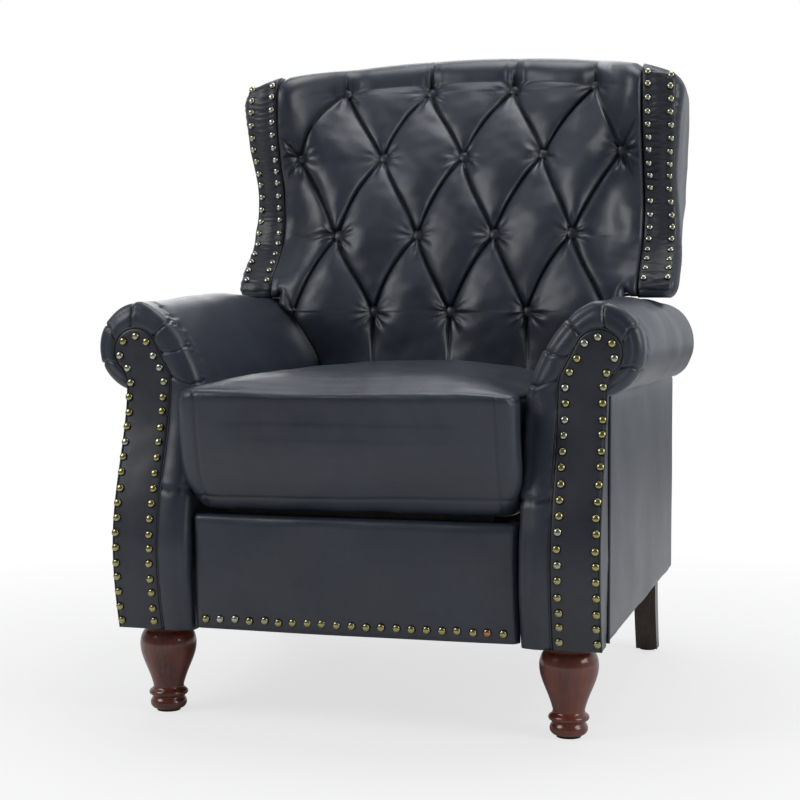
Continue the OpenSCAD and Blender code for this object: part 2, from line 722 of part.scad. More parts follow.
// One closed section of the pad, at share u of its half width: up the front, over the
// rolled top, and down the rear, where each height has its own point again
pad_top_n = 7;
function pad_ring(u) = let (
        top = top_z(u * pad_x), zs = pad_heights(top), zt = zs[pad_nz], xt = u * pad_x,
        yt = pad_y(xt, zt), ye = rear_y(top) - cover_t)
    concat(
        [for (z = zs) [u * pad_half(z), pad_y(u * pad_half(z), z), z]],
        [for (i = [1 : pad_top_n - 2]) let (a = 90 * i / (pad_top_n - 1))
            [xt, yt + back_round * 1.3 * (1 - cos(a)), zt + back_round * sin(a)]],
        [[xt, ye - 12, top - 2], [xt, ye, top - 12]],
        [for (i = [pad_top_n : -1 : 1]) let (z = zt + (top - 14 - zt) * i / pad_top_n)
            [xt, frame_rear(z), z]],
        [for (j = [pad_nz : -1 : 0]) [u * pad_half(zs[j]), frame_rear(zs[j]), zs[j]]]);

// The side of section j, as a strip of quads between its front and its rear
function pad_side(j, n) = [for (i = [0 : n / 2 - 2])
    let (a = j * n + i, b = j * n + n - 1 - i) [a, b, b - 1, a + 1]];
module tufted_pad() color("#2d323c") {
    rings = [for (i = [0 : pad_nu]) pad_ring(2 * i / pad_nu - 1)];
    n = len(rings[0]);
    m = pad_nu + 1;
    polyhedron(
        points = [for (ring = rings) for (p = ring) p],
        faces = concat(
            [for (f = pad_side(0, n)) each [[f[2], f[1], f[0]], [f[3], f[2], f[0]]]],
            [for (j = [0 : m - 2]) for (i = [0 : n - 1]) each
                let (a = j * n + i, b = j * n + (i + 1) % n)
                [[b, a, a + n], [b, a + n, b + n]]],
            [for (f = pad_side(m - 1, n)) each [[f[0], f[1], f[2]], [f[0], f[2], f[3]]]]));
}

function button_x(row, i) = (i - (row_count[row] - 1) / 2) * row_pitch[row];
module back_buttons() color("#2a2f38") for (row = [0 : 3]) for (i = [0 : row_count[row] - 1]) {
    x = button_x(row, i);
    z = row_z[row];
    slope = (button_y(x, z + 8) - button_y(x, z - 8)) / 16;
    dome = 4;
    ball = (button_r * button_r + dome * dome) / (2 * dome);
    translate([x, button_y(x, z) - 5, z]) rotate([90 - atan(slope), 0, 0]) {
        translate([0, 0, -6]) cylinder(r = button_r, h = 6);
        intersection() {
            translate([0, 0, dome - ball]) sphere(r = ball);
            translate([0, 0, -0.5]) cylinder(r = button_r, h = dome + 1);
        }
    }
}

// Wings: sections across, from the foot to the top
function wing_out(z) = wing_x - 10 + 6 * cos(360 * (z - wing_at(0.06)) / 330) + (z > wing_at(0.435) ? 4 * (z - wing_at(0.435)) / 180 : 0);
wing_stations = [for (s = [0, 0.012, 0.033, 0.06, 0.12, 0.2, 0.26, 0.32, 0.375, 0.435, 0.495, 0.555, 0.61, 0.67,
    0.73, 0.79, 0.825, 0.85, 0.868]) wing_at(s)];
wing_top = wing_at(0.868);
function wing_rise(z) = ease((z - wing_top + 84) / 84) * 0.3;
function wing_ring(i) = let (
        z = wing_stations[i], last = len(wing_stations) - 1,
        inset = i == 0 ? 10 : i == 1 ? 3 : i == last ? 16 : i == last - 1 ? 6 : i == last - 2 ? 2 : 0,
        xo = wing_out(z) - inset, y = wing_y(z) + inset * 0.8, r = rear_y(z) - cover_t - 0.5,
        rise = wing_rise(z))
    [for (p = [[pad_x + 1, y + 8], [pad_x + 8, y + 3.2], [xo - 22, y + 3.2], [xo - 10, y + 9], [xo - 2, y + 24],
            [xo, y + 44], [xo, r - 26], [xo - 6, r - 9], [xo - 20, r], [wing_post_x + wing_post_w + 1.5, r],
            [wing_post_x + wing_post_w + 1.5, r - frame_t - 3], [pad_x + 1, r - frame_t - 3]])
        [p[0], p[1], z + rise * (wing_x - p[0])]];
module wing() color("#333944") {
    rings = [for (i = [0 : len(wing_stations) - 1]) wing_ring(i)];
    n = 12;
    m = len(rings);
    // the caps are notched, so they are cut into convex pieces
    cap = [[0, 1, 2, 3, 4, 5], [0, 5, 6, 10, 11], [6, 7, 8, 9, 10]];
    polyhedron(
        points = [for (ring = rings) for (p = ring) p],
        faces = concat(
            [for (c = cap) c],
            [for (j = [0 : m - 2]) for (i = [0 : n - 1]) each
                let (a = j * n + i, b = j * n + (i + 1) % n)
                [[b, a, a + n], [b, a + n, b + n]]],
            [for (c = cap) [for (k = [len(c) - 1 : -1 : 0]) (m - 1) * n + c[k]]]));
}
module wing_right() wing();
module wing_left() mirror([1, 0, 0]) wing();

// The nailed bands on the wings' fronts
band_in = pad_x + 1;
function band_ring(z) = [for (p = [[band_in, 3], [band_in, 0.2], [band_in + band_w, 0.2], [band_in + band_w, 3]])
    [p[0], wing_y(z) + p[1], z + wing_rise(z) * (wing_x - p[0])]];
module wing_bands() color("#2b2f37") pair() skin([for (i = [2 : len(wing_stations) - 4]) band_ring(wing_stations[i])]);

wing_nail_n = 15;
wing_nail_low = wing_low + 28;
wing_nail_high = wing_top - 29;
module wing_nails() color("#a08c58") pair() for (i = [0 : wing_nail_n]) for (x = [band_in + 9, band_in + band_w - 9]) {
    z = wing_nail_low + (wing_nail_high - wing_nail_low) * i / wing_nail_n;
    slope = (wing_y(z + 6) - wing_y(z - 6)) / 12;
    nail([x, wing_y(z), z], [0, -1, slope]);
}

module back_cover() color("#3a404b") intersection() {
    along_x(-wing_x, wing_x) polygon([
        [rear_y(cover_low) - cover_t, cover_low], [rear_y(cover_low), cover_low],
        [rear_y(back_h), back_h], [rear_y(back_h) - cover_t, back_h]]);
    union() {
        block([slit - post_x, 200, cover_low], [post_x - slit, 600, wing_low + 2]);
        along_y(200, 600) polygon(concat(
            [[-wing_x + 22, wing_low + 2], [wing_x - 22, wing_low + 2]],
            [for (i = [0 : 24]) let (x = (wing_x - 22) * (1 - i / 12)) [x, top_z(x) - 14]]));
    }
}

// ---------- joint between the back and the base ----------

module pivot_plates() color("#54585d") pair() difference() {
    block([inner_x - link_t, pivot[0] - 30, pivot[1] - 32], [inner_x, pivot[0] + 30, pivot[1] + 32]);
    rod_x(inner_x - link_t - 1, inner_x + 1, pivot[0], pivot[1], 6 + run);
    screw_bores();
}
module back_pivot_pins() color("#9a9da0") pair() {
    rod_x(post_x + slit, inner_x, pivot[0], pivot[1], 6);
    rod_x(post_x + link_t + slit, inner_x - link_t - run, pivot[0], pivot[1], 10);
}

drag_x = plate_x - link_t - 0.5;
module drag_links() color("#5d6166") pair() difference() {
    bar(drag_seat, drag_back, drag_x, link_t, link_w);
    bore(drag_seat + play_drag, 2.6);
    bore(drag_back);
}
module drag_link_rivets() color("#9a9da0") pair() {
    rivet(drag_x, post_x + link_t, drag_back, 7);
    collar(drag_x + link_t, post_x, drag_back);
}

// Screws that hold the steel and the rail to the arms' timbers
screw_spots = concat(
    [for (y = [-318, -130, 60]) [y, roller_z]],
    [for (z = [-22, 22]) [pivot[0] + 20, pivot[1] + z]],
    [[-5, leg_h + 23]]);
screw_len = 26;
module screw_bores() pair() for (p = screw_spots)
    rod_x(inner_x - 5, inner_x + screw_len + 1, p[0], p[1], bolt_r + run);
module base_screws() color("#b0b3b6") pair() for (p = screw_spots)
    rod_x(inner_x - channel_web, inner_x + screw_len, p[0], p[1], bolt_r);

arm_pad_right();
arm_pad_left();
outer_side_panels();
front_bands();
front_panel_right();
front_panel_left();
panel_piping();
arm_nails();
arm_front_posts();
arm_rear_posts();
arm_bottom_rails();
arm_mid_rails();
arm_top_rails();
corner_blocks();
cross_rail();
rear_apron();
front_legs();
rear_legs();
leg_bolts();
leg_glides();
seat_channels();
pivot_plates();
back_pivot_pins();
base_screws();
seat_side_rails();
seat_end_rails();
seat_springs();
spring_clips();
seat_deck();
seat_cushion();
seat_plates();
plate_spacers();
seat_rollers();
roller_axles();
seat_rivets();
rear_links();
front_links();
front_link_rivets();
lower_links();
lower_link_rivets();
upper_links();
upper_link_rivets();
footrest_board();
footrest_pad();
footrest_nails();
footrest_brackets();
back_posts();
back_rails();
back_springs();
wing_posts();
back_plates();
tufted_pad();
back_buttons();
wing_right();
wing_left();
wing_bands();
wing_nails();
back_cover();
drag_links();
drag_link_rivets();
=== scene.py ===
import json
import math
from math import cos, pi, sin

import bmesh
import bpy
import numpy as np
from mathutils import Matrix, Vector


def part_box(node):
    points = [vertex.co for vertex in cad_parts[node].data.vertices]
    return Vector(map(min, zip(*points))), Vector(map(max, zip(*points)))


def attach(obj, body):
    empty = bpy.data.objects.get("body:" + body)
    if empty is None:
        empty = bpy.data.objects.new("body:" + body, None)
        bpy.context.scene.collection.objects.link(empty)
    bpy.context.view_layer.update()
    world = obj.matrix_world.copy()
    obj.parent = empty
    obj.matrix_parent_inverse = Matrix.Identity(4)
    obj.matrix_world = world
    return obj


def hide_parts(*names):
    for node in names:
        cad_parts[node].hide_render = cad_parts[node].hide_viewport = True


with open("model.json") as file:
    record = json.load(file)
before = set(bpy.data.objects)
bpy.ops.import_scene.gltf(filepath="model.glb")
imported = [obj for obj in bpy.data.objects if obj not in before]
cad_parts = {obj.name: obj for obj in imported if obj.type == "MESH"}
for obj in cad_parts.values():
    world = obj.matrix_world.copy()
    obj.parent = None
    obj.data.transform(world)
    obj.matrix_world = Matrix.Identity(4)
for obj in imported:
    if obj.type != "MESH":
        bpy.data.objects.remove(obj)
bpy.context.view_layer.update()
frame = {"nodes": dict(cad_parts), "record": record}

# ---- view ----

camera = {
    "place": (0.698, -2.6211, 0.5789),
    "yaw": 15.7281,       # degrees, turning to the left
    "pitch": -2.8759,
    "lens": 76.2,
    "sensor": 36,
}
lights = {
    "front": 0.125, "behind": 0.60,     # how bright the room is before and behind the chair
    "key": {"place": (-2.0, -1.7, 2.2), "aim": (0, -0.1, 0.6), "size": (1.3, 1.5), "power": 29},
    "side": {"place": (2.7, -0.9, 1.7), "aim": (0.3, 0, 0.5), "size": (1.3, 1.8), "power": 31},
    "top": {"place": (0.2, 0.5, 2.9), "aim": (0, 0, 0.6), "size": (1.8, 1.4), "power": 25},
    "rear": {"place": (-0.8, 2.6, 1.8), "aim": (0, 0.2, 0.6), "size": (1.6, 1.6), "power": 17},
}


def aimAt(thing, target):
    away = np.array(thing.location) - np.array(target)
    thing.rotation_euler = (math.acos(away[2] / np.linalg.norm(away)), 0, math.atan2(away[0], -away[1]))


def setCamera():
    lens = bpy.data.cameras.new("viewCamera")
    lens.lens = camera["lens"]
    lens.sensor_width = camera["sensor"]
    lens.clip_end = 50
    eye = bpy.data.objects.new("viewCamera", lens)
    eye.location = camera["place"]
    eye.rotation_euler = (math.radians(90 + camera["pitch"]), 0, math.radians(camera["yaw"]))
    bpy.context.collection.objects.link(eye)
    bpy.context.scene.camera = eye


def setLights():
    for name in ("key", "side", "top", "rear"):
        wanted = lights[name]
        lamp = bpy.data.lights.new(name + "Light", "AREA")
        lamp.shape = "RECTANGLE"
        lamp.size, lamp.size_y = wanted["size"]
        lamp.energy = wanted["power"]
        holder = bpy.data.objects.new(name + "Light", lamp)
        holder.location = wanted["place"]
        bpy.context.collection.objects.link(holder)
        aimAt(holder, wanted["aim"])


# ---- shader helpers ----

class Signal:
    # the output of a shader node, which can be added to, subtracted from and multiplied
    def __init__(self, finish, socket):
        self.finish, self.socket = finish, socket

    def math(self, operation, other):
        return self.finish.node("Math", {"operation": operation}, {0: self, 1: other})

    def __add__(self, other): return self.math("ADD", other)
    def __sub__(self, other): return self.math("SUBTRACT", other)
    def __mul__(self, other): return self.math("MULTIPLY", other)


class Finish:
    # one material or world: node() makes any shader node, settings first, then its socket values or links
    def __init__(self, name, world=False):
        self.material = (bpy.data.worlds if world else bpy.data.materials).new(name)
        self.material.use_nodes = True
        self.tree = self.material.node_tree
        self.tree.nodes.clear()
        self.output = self.tree.nodes.new("ShaderNodeOutputWorld" if world else "ShaderNodeOutputMaterial")

    def node(self, kind, settings=None, values=None, out=0):
        made = self.tree.nodes.new("ShaderNode" + kind)
        for key, value in (settings or {}).items():
            if key == "stops":
                ramp = made.color_ramp
                while len(ramp.elements) < len(value):
                    ramp.elements.new(0.5)
                for stop, (place, tone) in zip(ramp.elements, value):
                    stop.position, stop.color = place, (*tone, 1)
            else:
                setattr(made, key, value)
        for key, value in (values or {}).items():
            self.feed(made.inputs[key], value)
        return Signal(self, made.outputs[out])

    def feed(self, socket, value):
        if isinstance(value, Signal):
            self.tree.links.new(value.socket, socket)
        elif isinstance(value, tuple) and len(value) == 3 and socket.type == "RGBA":
            socket.default_value = (*value, 1)
        else:
            socket.default_value = value

    def place(self):
        return self.node("TexCoord", out=3)

    def noise(self, place, scale, detail=3, roughness=0.5, out=0):
        values = {"Vector": place, "Scale": scale, "Detail": detail, "Roughness": roughness}
        return self.node("TexNoise", {}, values, out)

    def stretch(self, place, scale):
        return self.node("Mapping", {}, {"Vector": place, "Scale": scale})

    def mix(self, share, first, second):
        return self.node("Mix", {"data_type": "RGBA"}, {0: share, 6: first, 7: second}, 2)

    def between(self, value, low, high, newLow=0.0, newHigh=1.0):
        return self.node("MapRange", {"clamp": True}, {0: value, 1: low, 2: high, 3: newLow, 4: newHigh})

    def attribute(self, name):
        return self.node("Attribute", {"attribute_name": name}, {}, 2)

    def bump(self, height, strength, distance, normal=None):
        values = {"Height": height, "Strength": strength, "Distance": distance}
        return self.node("Bump", {}, values | ({"Normal": normal} if normal else {}))

    def end(self, shader):
        self.tree.links.new(shader.socket, self.output.inputs["Surface"])
        return self.material

    def close(self, values):
        return self.end(self.node("BsdfPrincipled", {}, values))


def rgb(red, green, blue):
    # screen colour to the linear values that Blender wants
    shares = (red / 255, green / 255, blue / 255)
    return tuple(c / 12.92 if c <= 0.04045 else ((c + 0.055) / 1.055) ** 2.4 for c in shares)


# ---- finishes ----

leatherLook = {
    "tone": rgb(42, 46, 58),
    "light": rgb(54, 59, 72),
    "shade": rgb(11, 12, 16),
    "roughness": 0.36,
    "grain": 620,         # pebbles across a metre
    "grainDepth": 0.0004,
    "coat": 0.18,
}


def makeLeather(name, tone=leatherLook["tone"], light=leatherLook["light"], roughness=leatherLook["roughness"]):
    look = leatherLook
    finish = Finish(name)
    place = finish.place()
    cloud = finish.noise(place, 5, 4, 0.6)
    fine = finish.noise(place, 60, 3, 0.6)
    colour = finish.mix(finish.between(cloud * 0.7 + fine * 0.3, 0.36, 0.66), tone, light)
    # painted shade: the attribute darkens creases, pleats, seams and tucked edges towards the shade colour
    colour = finish.mix(finish.between(finish.attribute("fold"), 0.0, 1.0), colour, look["shade"])
    warped = finish.node("Mix", {"data_type": "VECTOR"},
                         {0: 0.006, 4: place, 5: finish.noise(place, 240, 2, 0.5, 1)}, 1)
    pebble = {"Vector": warped, "Scale": look["grain"]}
    pore = finish.between(finish.node("TexVoronoi", {"feature": "DISTANCE_TO_EDGE"}, pebble), 0.0, 0.22)
    wrinkle = finish.noise(finish.stretch(place, (1, 1, 0.55)), 34, 5, 0.62)
    normal = finish.bump(pore, 0.20, look["grainDepth"], finish.bump(wrinkle, 0.16, 0.004))
    rough = finish.between(cloud, 0.3, 0.7, roughness - 0.05, roughness + 0.07)
    return finish.close({"Base Color": colour, "Roughness": rough + pore * -0.03, "Normal": normal,
                         "Specular IOR Level": 0.55, "Coat Weight": look["coat"], "Coat Roughness": 0.28})


brassLook = {
    "bright": rgb(176, 170, 120), "dark": rgb(26, 25, 16), "copper": rgb(188, 126, 88), "silver": rgb(200, 202, 192),
}


def makeBrass():
    finish = Finish("agedBrass")
    place = finish.place()
    rim = finish.attribute("rim")          # 0 at a nail's crown, 1 at its edge
    tone = finish.attribute("tone")        # differs from nail to nail
    metal = finish.node("ValToRGB", {"stops": [(0.0, brassLook["silver"]), (0.30, brassLook["bright"]),
                        (0.90, brassLook["bright"]), (0.97, brassLook["copper"])]}, {0: tone})
    spots = finish.noise(place, 900, 3, 0.6)
    worn = finish.between(rim + (spots - 0.5) * 0.3, 0.66, 0.95)
    colour = finish.mix(worn, metal, brassLook["dark"])
    return finish.close({"Base Color": colour, "Metallic": 1.0, "Roughness": finish.between(worn, 0, 1, 0.24, 0.5),
                         "Normal": finish.bump(spots, 0.15, 0.0003)})


mahoganyLook = {"tone": rgb(118, 52, 34), "dark": rgb(62, 26, 18), "light": rgb(156, 80, 54)}


def makeTurnedWood(name, tone, dark, light, roughness, coat, grainWay=(1, 1, 0.12), scale=34):
    finish = Finish(name)
    place = finish.stretch(finish.place(), grainWay)
    bend = finish.noise(place, scale * 0.35, 3, 0.5)
    streak = finish.noise(place, scale, 6, 0.65)
    line = finish.noise(place, scale * 6, 2, 0.5)
    colour = finish.mix(finish.between(streak, 0.34, 0.66), dark, tone)
    colour = finish.mix(finish.between(bend * 0.6 + line * 0.4, 0.46, 0.72) * 0.6, colour, light)
    rough = finish.between(streak, 0.3, 0.7, roughness, roughness + 0.08)
    return finish.close({"Base Color": colour, "Roughness": rough, "Coat Weight": coat, "Coat Roughness": 0.08,
                         "Normal": finish.bump(line, 0.05, 0.0006)})


def paler(tone, gain, lift):
    return tuple(min(1, c * gain + lift) for c in tone)


def makeSteel(name, tone, metallic, roughness):
    finish = Finish(name)
    place = finish.place()
    smudge = finish.noise(place, 22, 4, 0.6)
    grit = finish.noise(place, 640, 2, 0.5)
    colour = finish.mix(finish.between(smudge, 0.55, 0.72) * 0.35, tone, paler(tone, 1.8, 0.02))
    return finish.close({"Base Color": colour, "Metallic": metallic,
                         "Roughness": finish.between(smudge, 0.3, 0.7, roughness, roughness + 0.12),
                         "Normal": finish.bump(grit, 0.10, 0.0003)})


def makeFelt(name, tone, light):
    finish = Finish(name)
    place = finish.place()
    fibre = finish.noise(finish.stretch(place, (1, 0.4, 1)), 700, 4, 0.7)
    patch = finish.noise(place, 40, 3, 0.6)
    colour = finish.mix(finish.between(fibre * 0.6 + patch * 0.4, 0.35, 0.65), tone, light)
    return finish.close({"Base Color": colour, "Roughness": finish.between(fibre, 0.3, 0.7, 0.85, 0.98),
                         "Normal": finish.bump(fibre, 0.5, 0.0012)})


def makePlastic(name, tone, roughness):
    finish = Finish(name)
    speck = finish.noise(finish.place(), 500, 3, 0.6)
    colour = finish.mix(finish.between(speck, 0.4, 0.6) * 0.3, tone, paler(tone, 1.25, 0.01))
    rough = finish.between(speck, 0.3, 0.7, roughness, roughness + 0.1)
    return finish.close({"Base Color": colour, "Roughness": rough, "Normal": finish.bump(speck, 0.12, 0.0003)})


leather = makeLeather("leather")
panelLeather = makeLeather("panelLeather", rgb(38, 40, 50), rgb(50, 52, 62), 0.42)
weltLeather = makeLeather("weltLeather", rgb(26, 28, 36), rgb(36, 38, 47), 0.42)
brass = makeBrass()
mahogany = makeTurnedWood("mahogany", mahoganyLook["tone"], mahoganyLook["dark"], mahoganyLook["light"], 0.26, 0.7)
darkWood = makeTurnedWood("darkWood", rgb(64, 50, 44), rgb(36, 26, 22), rgb(88, 70, 60), 0.36, 0.3)
timber = makeTurnedWood("timber", rgb(196, 158, 110), rgb(160, 120, 78), rgb(216, 184, 138), 0.62, 0.0,
                        grainWay=(0.2, 1, 1), scale=30)
linkSteel = makeSteel("linkSteel", rgb(62, 64, 68), 0.6, 0.38)
zincSteel = makeSteel("zincSteel", rgb(176, 178, 180), 1.0, 0.30)
springSteel = makeSteel("springSteel", rgb(110, 112, 116), 1.0, 0.34)
felt = makeFelt("felt", rgb(112, 106, 96), rgb(140, 134, 124))
nylon = makePlastic("nylon", rgb(216, 214, 204), 0.42)
glide = makePlastic("glide", rgb(32, 32, 34), 0.5)
print("finishes made")


# ---- mesh helpers ----

def piece(name, points, faces, body, material, slot=None, stands=(), marks=None, sharp=None):
    mesh = bpy.data.meshes.new(name)
    mesh.from_pydata([tuple(map(float, p)) for p in points], [], [list(f) for f in faces])
    work = bmesh.new()
    work.from_mesh(mesh)
    if marks is None:
        bmesh.ops.remove_doubles(work, verts=work.verts, dist=1e-6)
    bmesh.ops.recalc_face_normals(work, faces=work.faces)
    work.to_mesh(mesh)
    work.free()
    for key, values in (marks or {}).items():
        mark(mesh, key, values)
    mesh.polygons.foreach_set("use_smooth", [True] * len(mesh.polygons))
    mesh.materials.append(material)
    made = bpy.data.objects.new(name, mesh)
    bpy.context.collection.objects.link(made)
    if sharp is not None:
        mesh.set_sharp_from_angle(angle=math.radians(sharp))
    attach(made, body)
    if stands:
        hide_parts(*stands)
    return made


def leatherPiece(name, shape, body, node, fold, material=leather):
    return piece(name, *shape, body, material, "leather", (node,), {"fold": fold})


def weltPiece(name, parts, body, stands=()):
    return piece(name, *gather(parts), body, weltLeather, "piping", stands)


def mark(mesh, key, values):
    layer = mesh.attributes.new(key, "FLOAT", "POINT")
    layer.data.foreach_set("value", np.ascontiguousarray(values, dtype=np.float32).ravel())


def gridFaces(rows, cols, wrap=False):
    across = np.arange(cols if wrap else cols - 1)
    down = np.arange(rows - 1)[:, None] * cols
    a, b = down + across, down + (across + 1) % cols
    return np.stack([a, b, b + cols, a + cols], axis=-1).reshape(-1, 4).tolist()


def ease(t):
    t = np.clip(t, 0, 1)
    return t * t * (3 - 2 * t)


def shell(rings):
    # points and faces of rings joined one to the next, with a cap at each end
    rings = np.array(rings)
    count, sides = rings.shape[:2]
    caps = [list(range(sides)), list(range((count - 1) * sides, count * sides))]
    return rings.reshape(-1, 3), gridFaces(count, sides, True) + caps


def sleeve(rows):
    # points and faces of rows joined one to the next, and the last one to the first
    count, cols = rows.shape[:2]
    last = (count - 1) * cols
    return rows.reshape(-1, 3), gridFaces(count, cols) + [[last + k, last + k + 1, k + 1, k] for k in range(cols - 1)]


def hump(off, width):
    return np.exp(-(off / width) ** 2)


def ripple(points, size, seed, waves=9):
    # gentle seeded undulation, about -1.5 to 1.5
    dice = np.random.default_rng(seed)
    total = np.zeros(points.shape[:-1])
    for _ in range(waves):
        way = dice.normal(size=3)
        way /= np.linalg.norm(way)
        total += np.sin(points @ way * (2 * pi / (size * dice.uniform(0.7, 1.5))) + dice.uniform(0, 6.28))
    return total / math.sqrt(waves)


def roundOff(away, reach, most=1):
    # how far a quarter-round edge falls back at a distance from its end, as a share of its radius
    turn = np.minimum(1 - np.clip(away / reach, 0, 1), most)
    return 1 - np.sqrt(np.maximum(0, 1 - turn ** 2))


def quarter(count, first=0.0):
    # sine, and one less the cosine, of angles up to a right angle
    return [(sin(a), 1 - cos(a)) for a in np.linspace(first, pi / 2, count)]


def along(path):
    turn = np.gradient(np.asarray(path, float), axis=0)
    return turn / np.linalg.norm(turn, axis=1, keepdims=True)


def passedAlong(path):
    # the length of the path up to each of its points
    return np.concatenate([[0], np.cumsum(np.linalg.norm(np.diff(path, axis=0), axis=1))])


def spread(path, step):
    # the same path with points at an even spacing
    path = np.asarray(path, float)
    gone = passedAlong(path)
    want = np.linspace(0, gone[-1], max(2, int(round(gone[-1] / step)) + 1))
    return np.stack([np.interp(want, gone, column) for column in path.T], axis=1)


def tube(path, radius, up=(0, 1, 0), sides=8):
    path = np.asarray(path, float)[:, None, :]
    turn = along(path[:, 0])
    side = np.cross(turn, np.array(up, float))
    side /= np.maximum(np.linalg.norm(side, axis=1, keepdims=True), 1e-9)
    lift = np.cross(side, turn)
    angle = (np.arange(sides) * 2 * pi / sides)[:, None]
    return shell(path + radius * (np.cos(angle) * side[:, None, :] + np.sin(angle) * lift[:, None, :]))


def gather(parts):
    points, faces, start = [], [], 0
    for somePoints, someFaces in parts:
        points.append(np.asarray(somePoints, float))
        faces += [[start + k for k in f] for f in someFaces]
        start += len(somePoints)
    return np.concatenate(points), faces


nailForm = {"radius": 0.0060, "crown": 0.0038, "rings": 6, "sides": 16, "spacing": 0.0215}


def nailPlaces(path):
    # points along a path at the nails' even spacing
    gone = passedAlong(path)
    count = round(gone[-1] / nailForm["spacing"])
    return [[np.interp(gone[-1] * k / count, gone, column) for column in path.T] for k in range(count + 1)]


def nailHeads(name, spots, ways, body, node, seed, worn=1.0):
    # domed heads with a rolled edge, one mesh for all of them
    dice = np.random.default_rng(seed)
    points, faces, rims, tones = [], [], [], []
    r, crown, count = nailForm["radius"], nailForm["crown"], nailForm["sides"]
    profile = [(0, crown, 0)]
    profile += [(r * 0.93 * sin(a), crown * cos(a) ** 0.9, sin(a) ** 2.2)
                for a in np.linspace(0.35, 1.45, nailForm["rings"])]
    profile += [(r, 0.0002, 1), (r * 0.96, -0.0008, 1)]
    for spot, way in zip(spots, ways):
        way = np.asarray(way, float) / np.linalg.norm(way)
        side = np.cross(way, (0, 0, 1))
        side /= np.linalg.norm(side)
        lift = np.cross(side, way)
        start = len(points)
        # runs of nails from one batch look alike
        drift = 0.5 + 0.5 * sin(start * 0.0007 * (1 + seed * 0.13) + seed)
        tone = worn * min(1, max(0, 0.55 * drift + 0.45 * dice.uniform() + 0.04 * dice.normal()))
        tilt = dice.normal(size=2) * 0.00015
        for k, (out, high, rim) in enumerate(profile):
            for n in range(1 if k == 0 else count):
                a = 2 * pi * n / count
                points.append(np.asarray(spot) + way * high + side * (out * cos(a) + tilt[0])
                              + lift * (out * sin(a) + tilt[1]))
                rims.append(rim); tones.append(tone)
        faces += [[start, start + 1 + n, start + 1 + (n + 1) % count] for n in range(count)]
        faces += (start + 1 + np.array(gridFaces(len(profile) - 1, count, True))).tolist()
        faces.append([start + 1 + (len(profile) - 2) * count + n for n in range(count)])
    return piece(name, points, faces, body, brass, "nails", node, {"rim": rims, "tone": tones})


# ---- arms ----

sideName = {1: "Right", -1: "Left"}
armForm = {
    "inner": 0.238, "outer": 0.350, "low": 0.128, "top": 0.598, "rear": 0.405,
    "roll": 0.066, "rollInset": 0.017,
    "mid": 0.385, "swing": 0.027, "bulge": 0.250, "neck": 0.490, "foot": 0.285,
    "panelMargin": 0.045, "head": 0.033, "headOut": 0.022, "headTurn": 150,
    "edge": 0.013,        # rounding of the padded front edge
    "puff": 0.0045,
    # where the sewn pleats of the front band lie, and how long each is, as shares of the scroll
    "pleats": (0.045, 0.20, 0.335, 0.50, 0.66, 0.83),
    "pleatDepth": 0.0020,
    "seam": 0.330,        # height of the cross seam on the inner band
    "rise": 0.005,        # how much fuller the right roll is towards the back
    "tuckIn": 0.012,      # how much the rolls draw in towards the back
}
rollX = armForm["outer"] - armForm["rollInset"]
rollZ = armForm["top"] - armForm["roll"]
panelIn = armForm["inner"] + armForm["panelMargin"]
panelOut = armForm["outer"] - 0.001
headX = panelOut + armForm["headOut"] - armForm["head"]
headZ = rollZ - 0.005
panelNeck = rollZ - 0.042


def frontY(z):
    z = np.asarray(z, float)
    phase = np.where(z < armForm["bulge"], (armForm["bulge"] - z) / armForm["foot"],
                     np.minimum(1, (z - armForm["bulge"]) / (armForm["neck"] - armForm["bulge"])))
    return -(armForm["mid"] + armForm["swing"] * np.cos(np.pi * phase))


def panelLine(grow, low, step):
    # the nailed panel's edge, up the inner side, round the leaning head and down the outer side
    r = armForm["head"] + grow
    left, right = panelIn - grow, panelOut + grow * 0.4
    end = -math.acos(min(1, (right - headX) / r))
    endZ = headZ + r * sin(end)
    turns = np.linspace(math.radians(armForm["headTurn"] - 4), end + 0.35, 50)
    path = [(left, low), (left, panelNeck - 0.030), (left, panelNeck - 0.008), (left + 0.0025, panelNeck + 0.007)]
    path += [(headX + r * cos(a), headZ + r * sin(a)) for a in turns]
    path += [(right + 0.0045, endZ - 0.004), (right + 0.0006, endZ - 0.016), (right, endZ - 0.034), (right, low)]
    return spread(path, step)


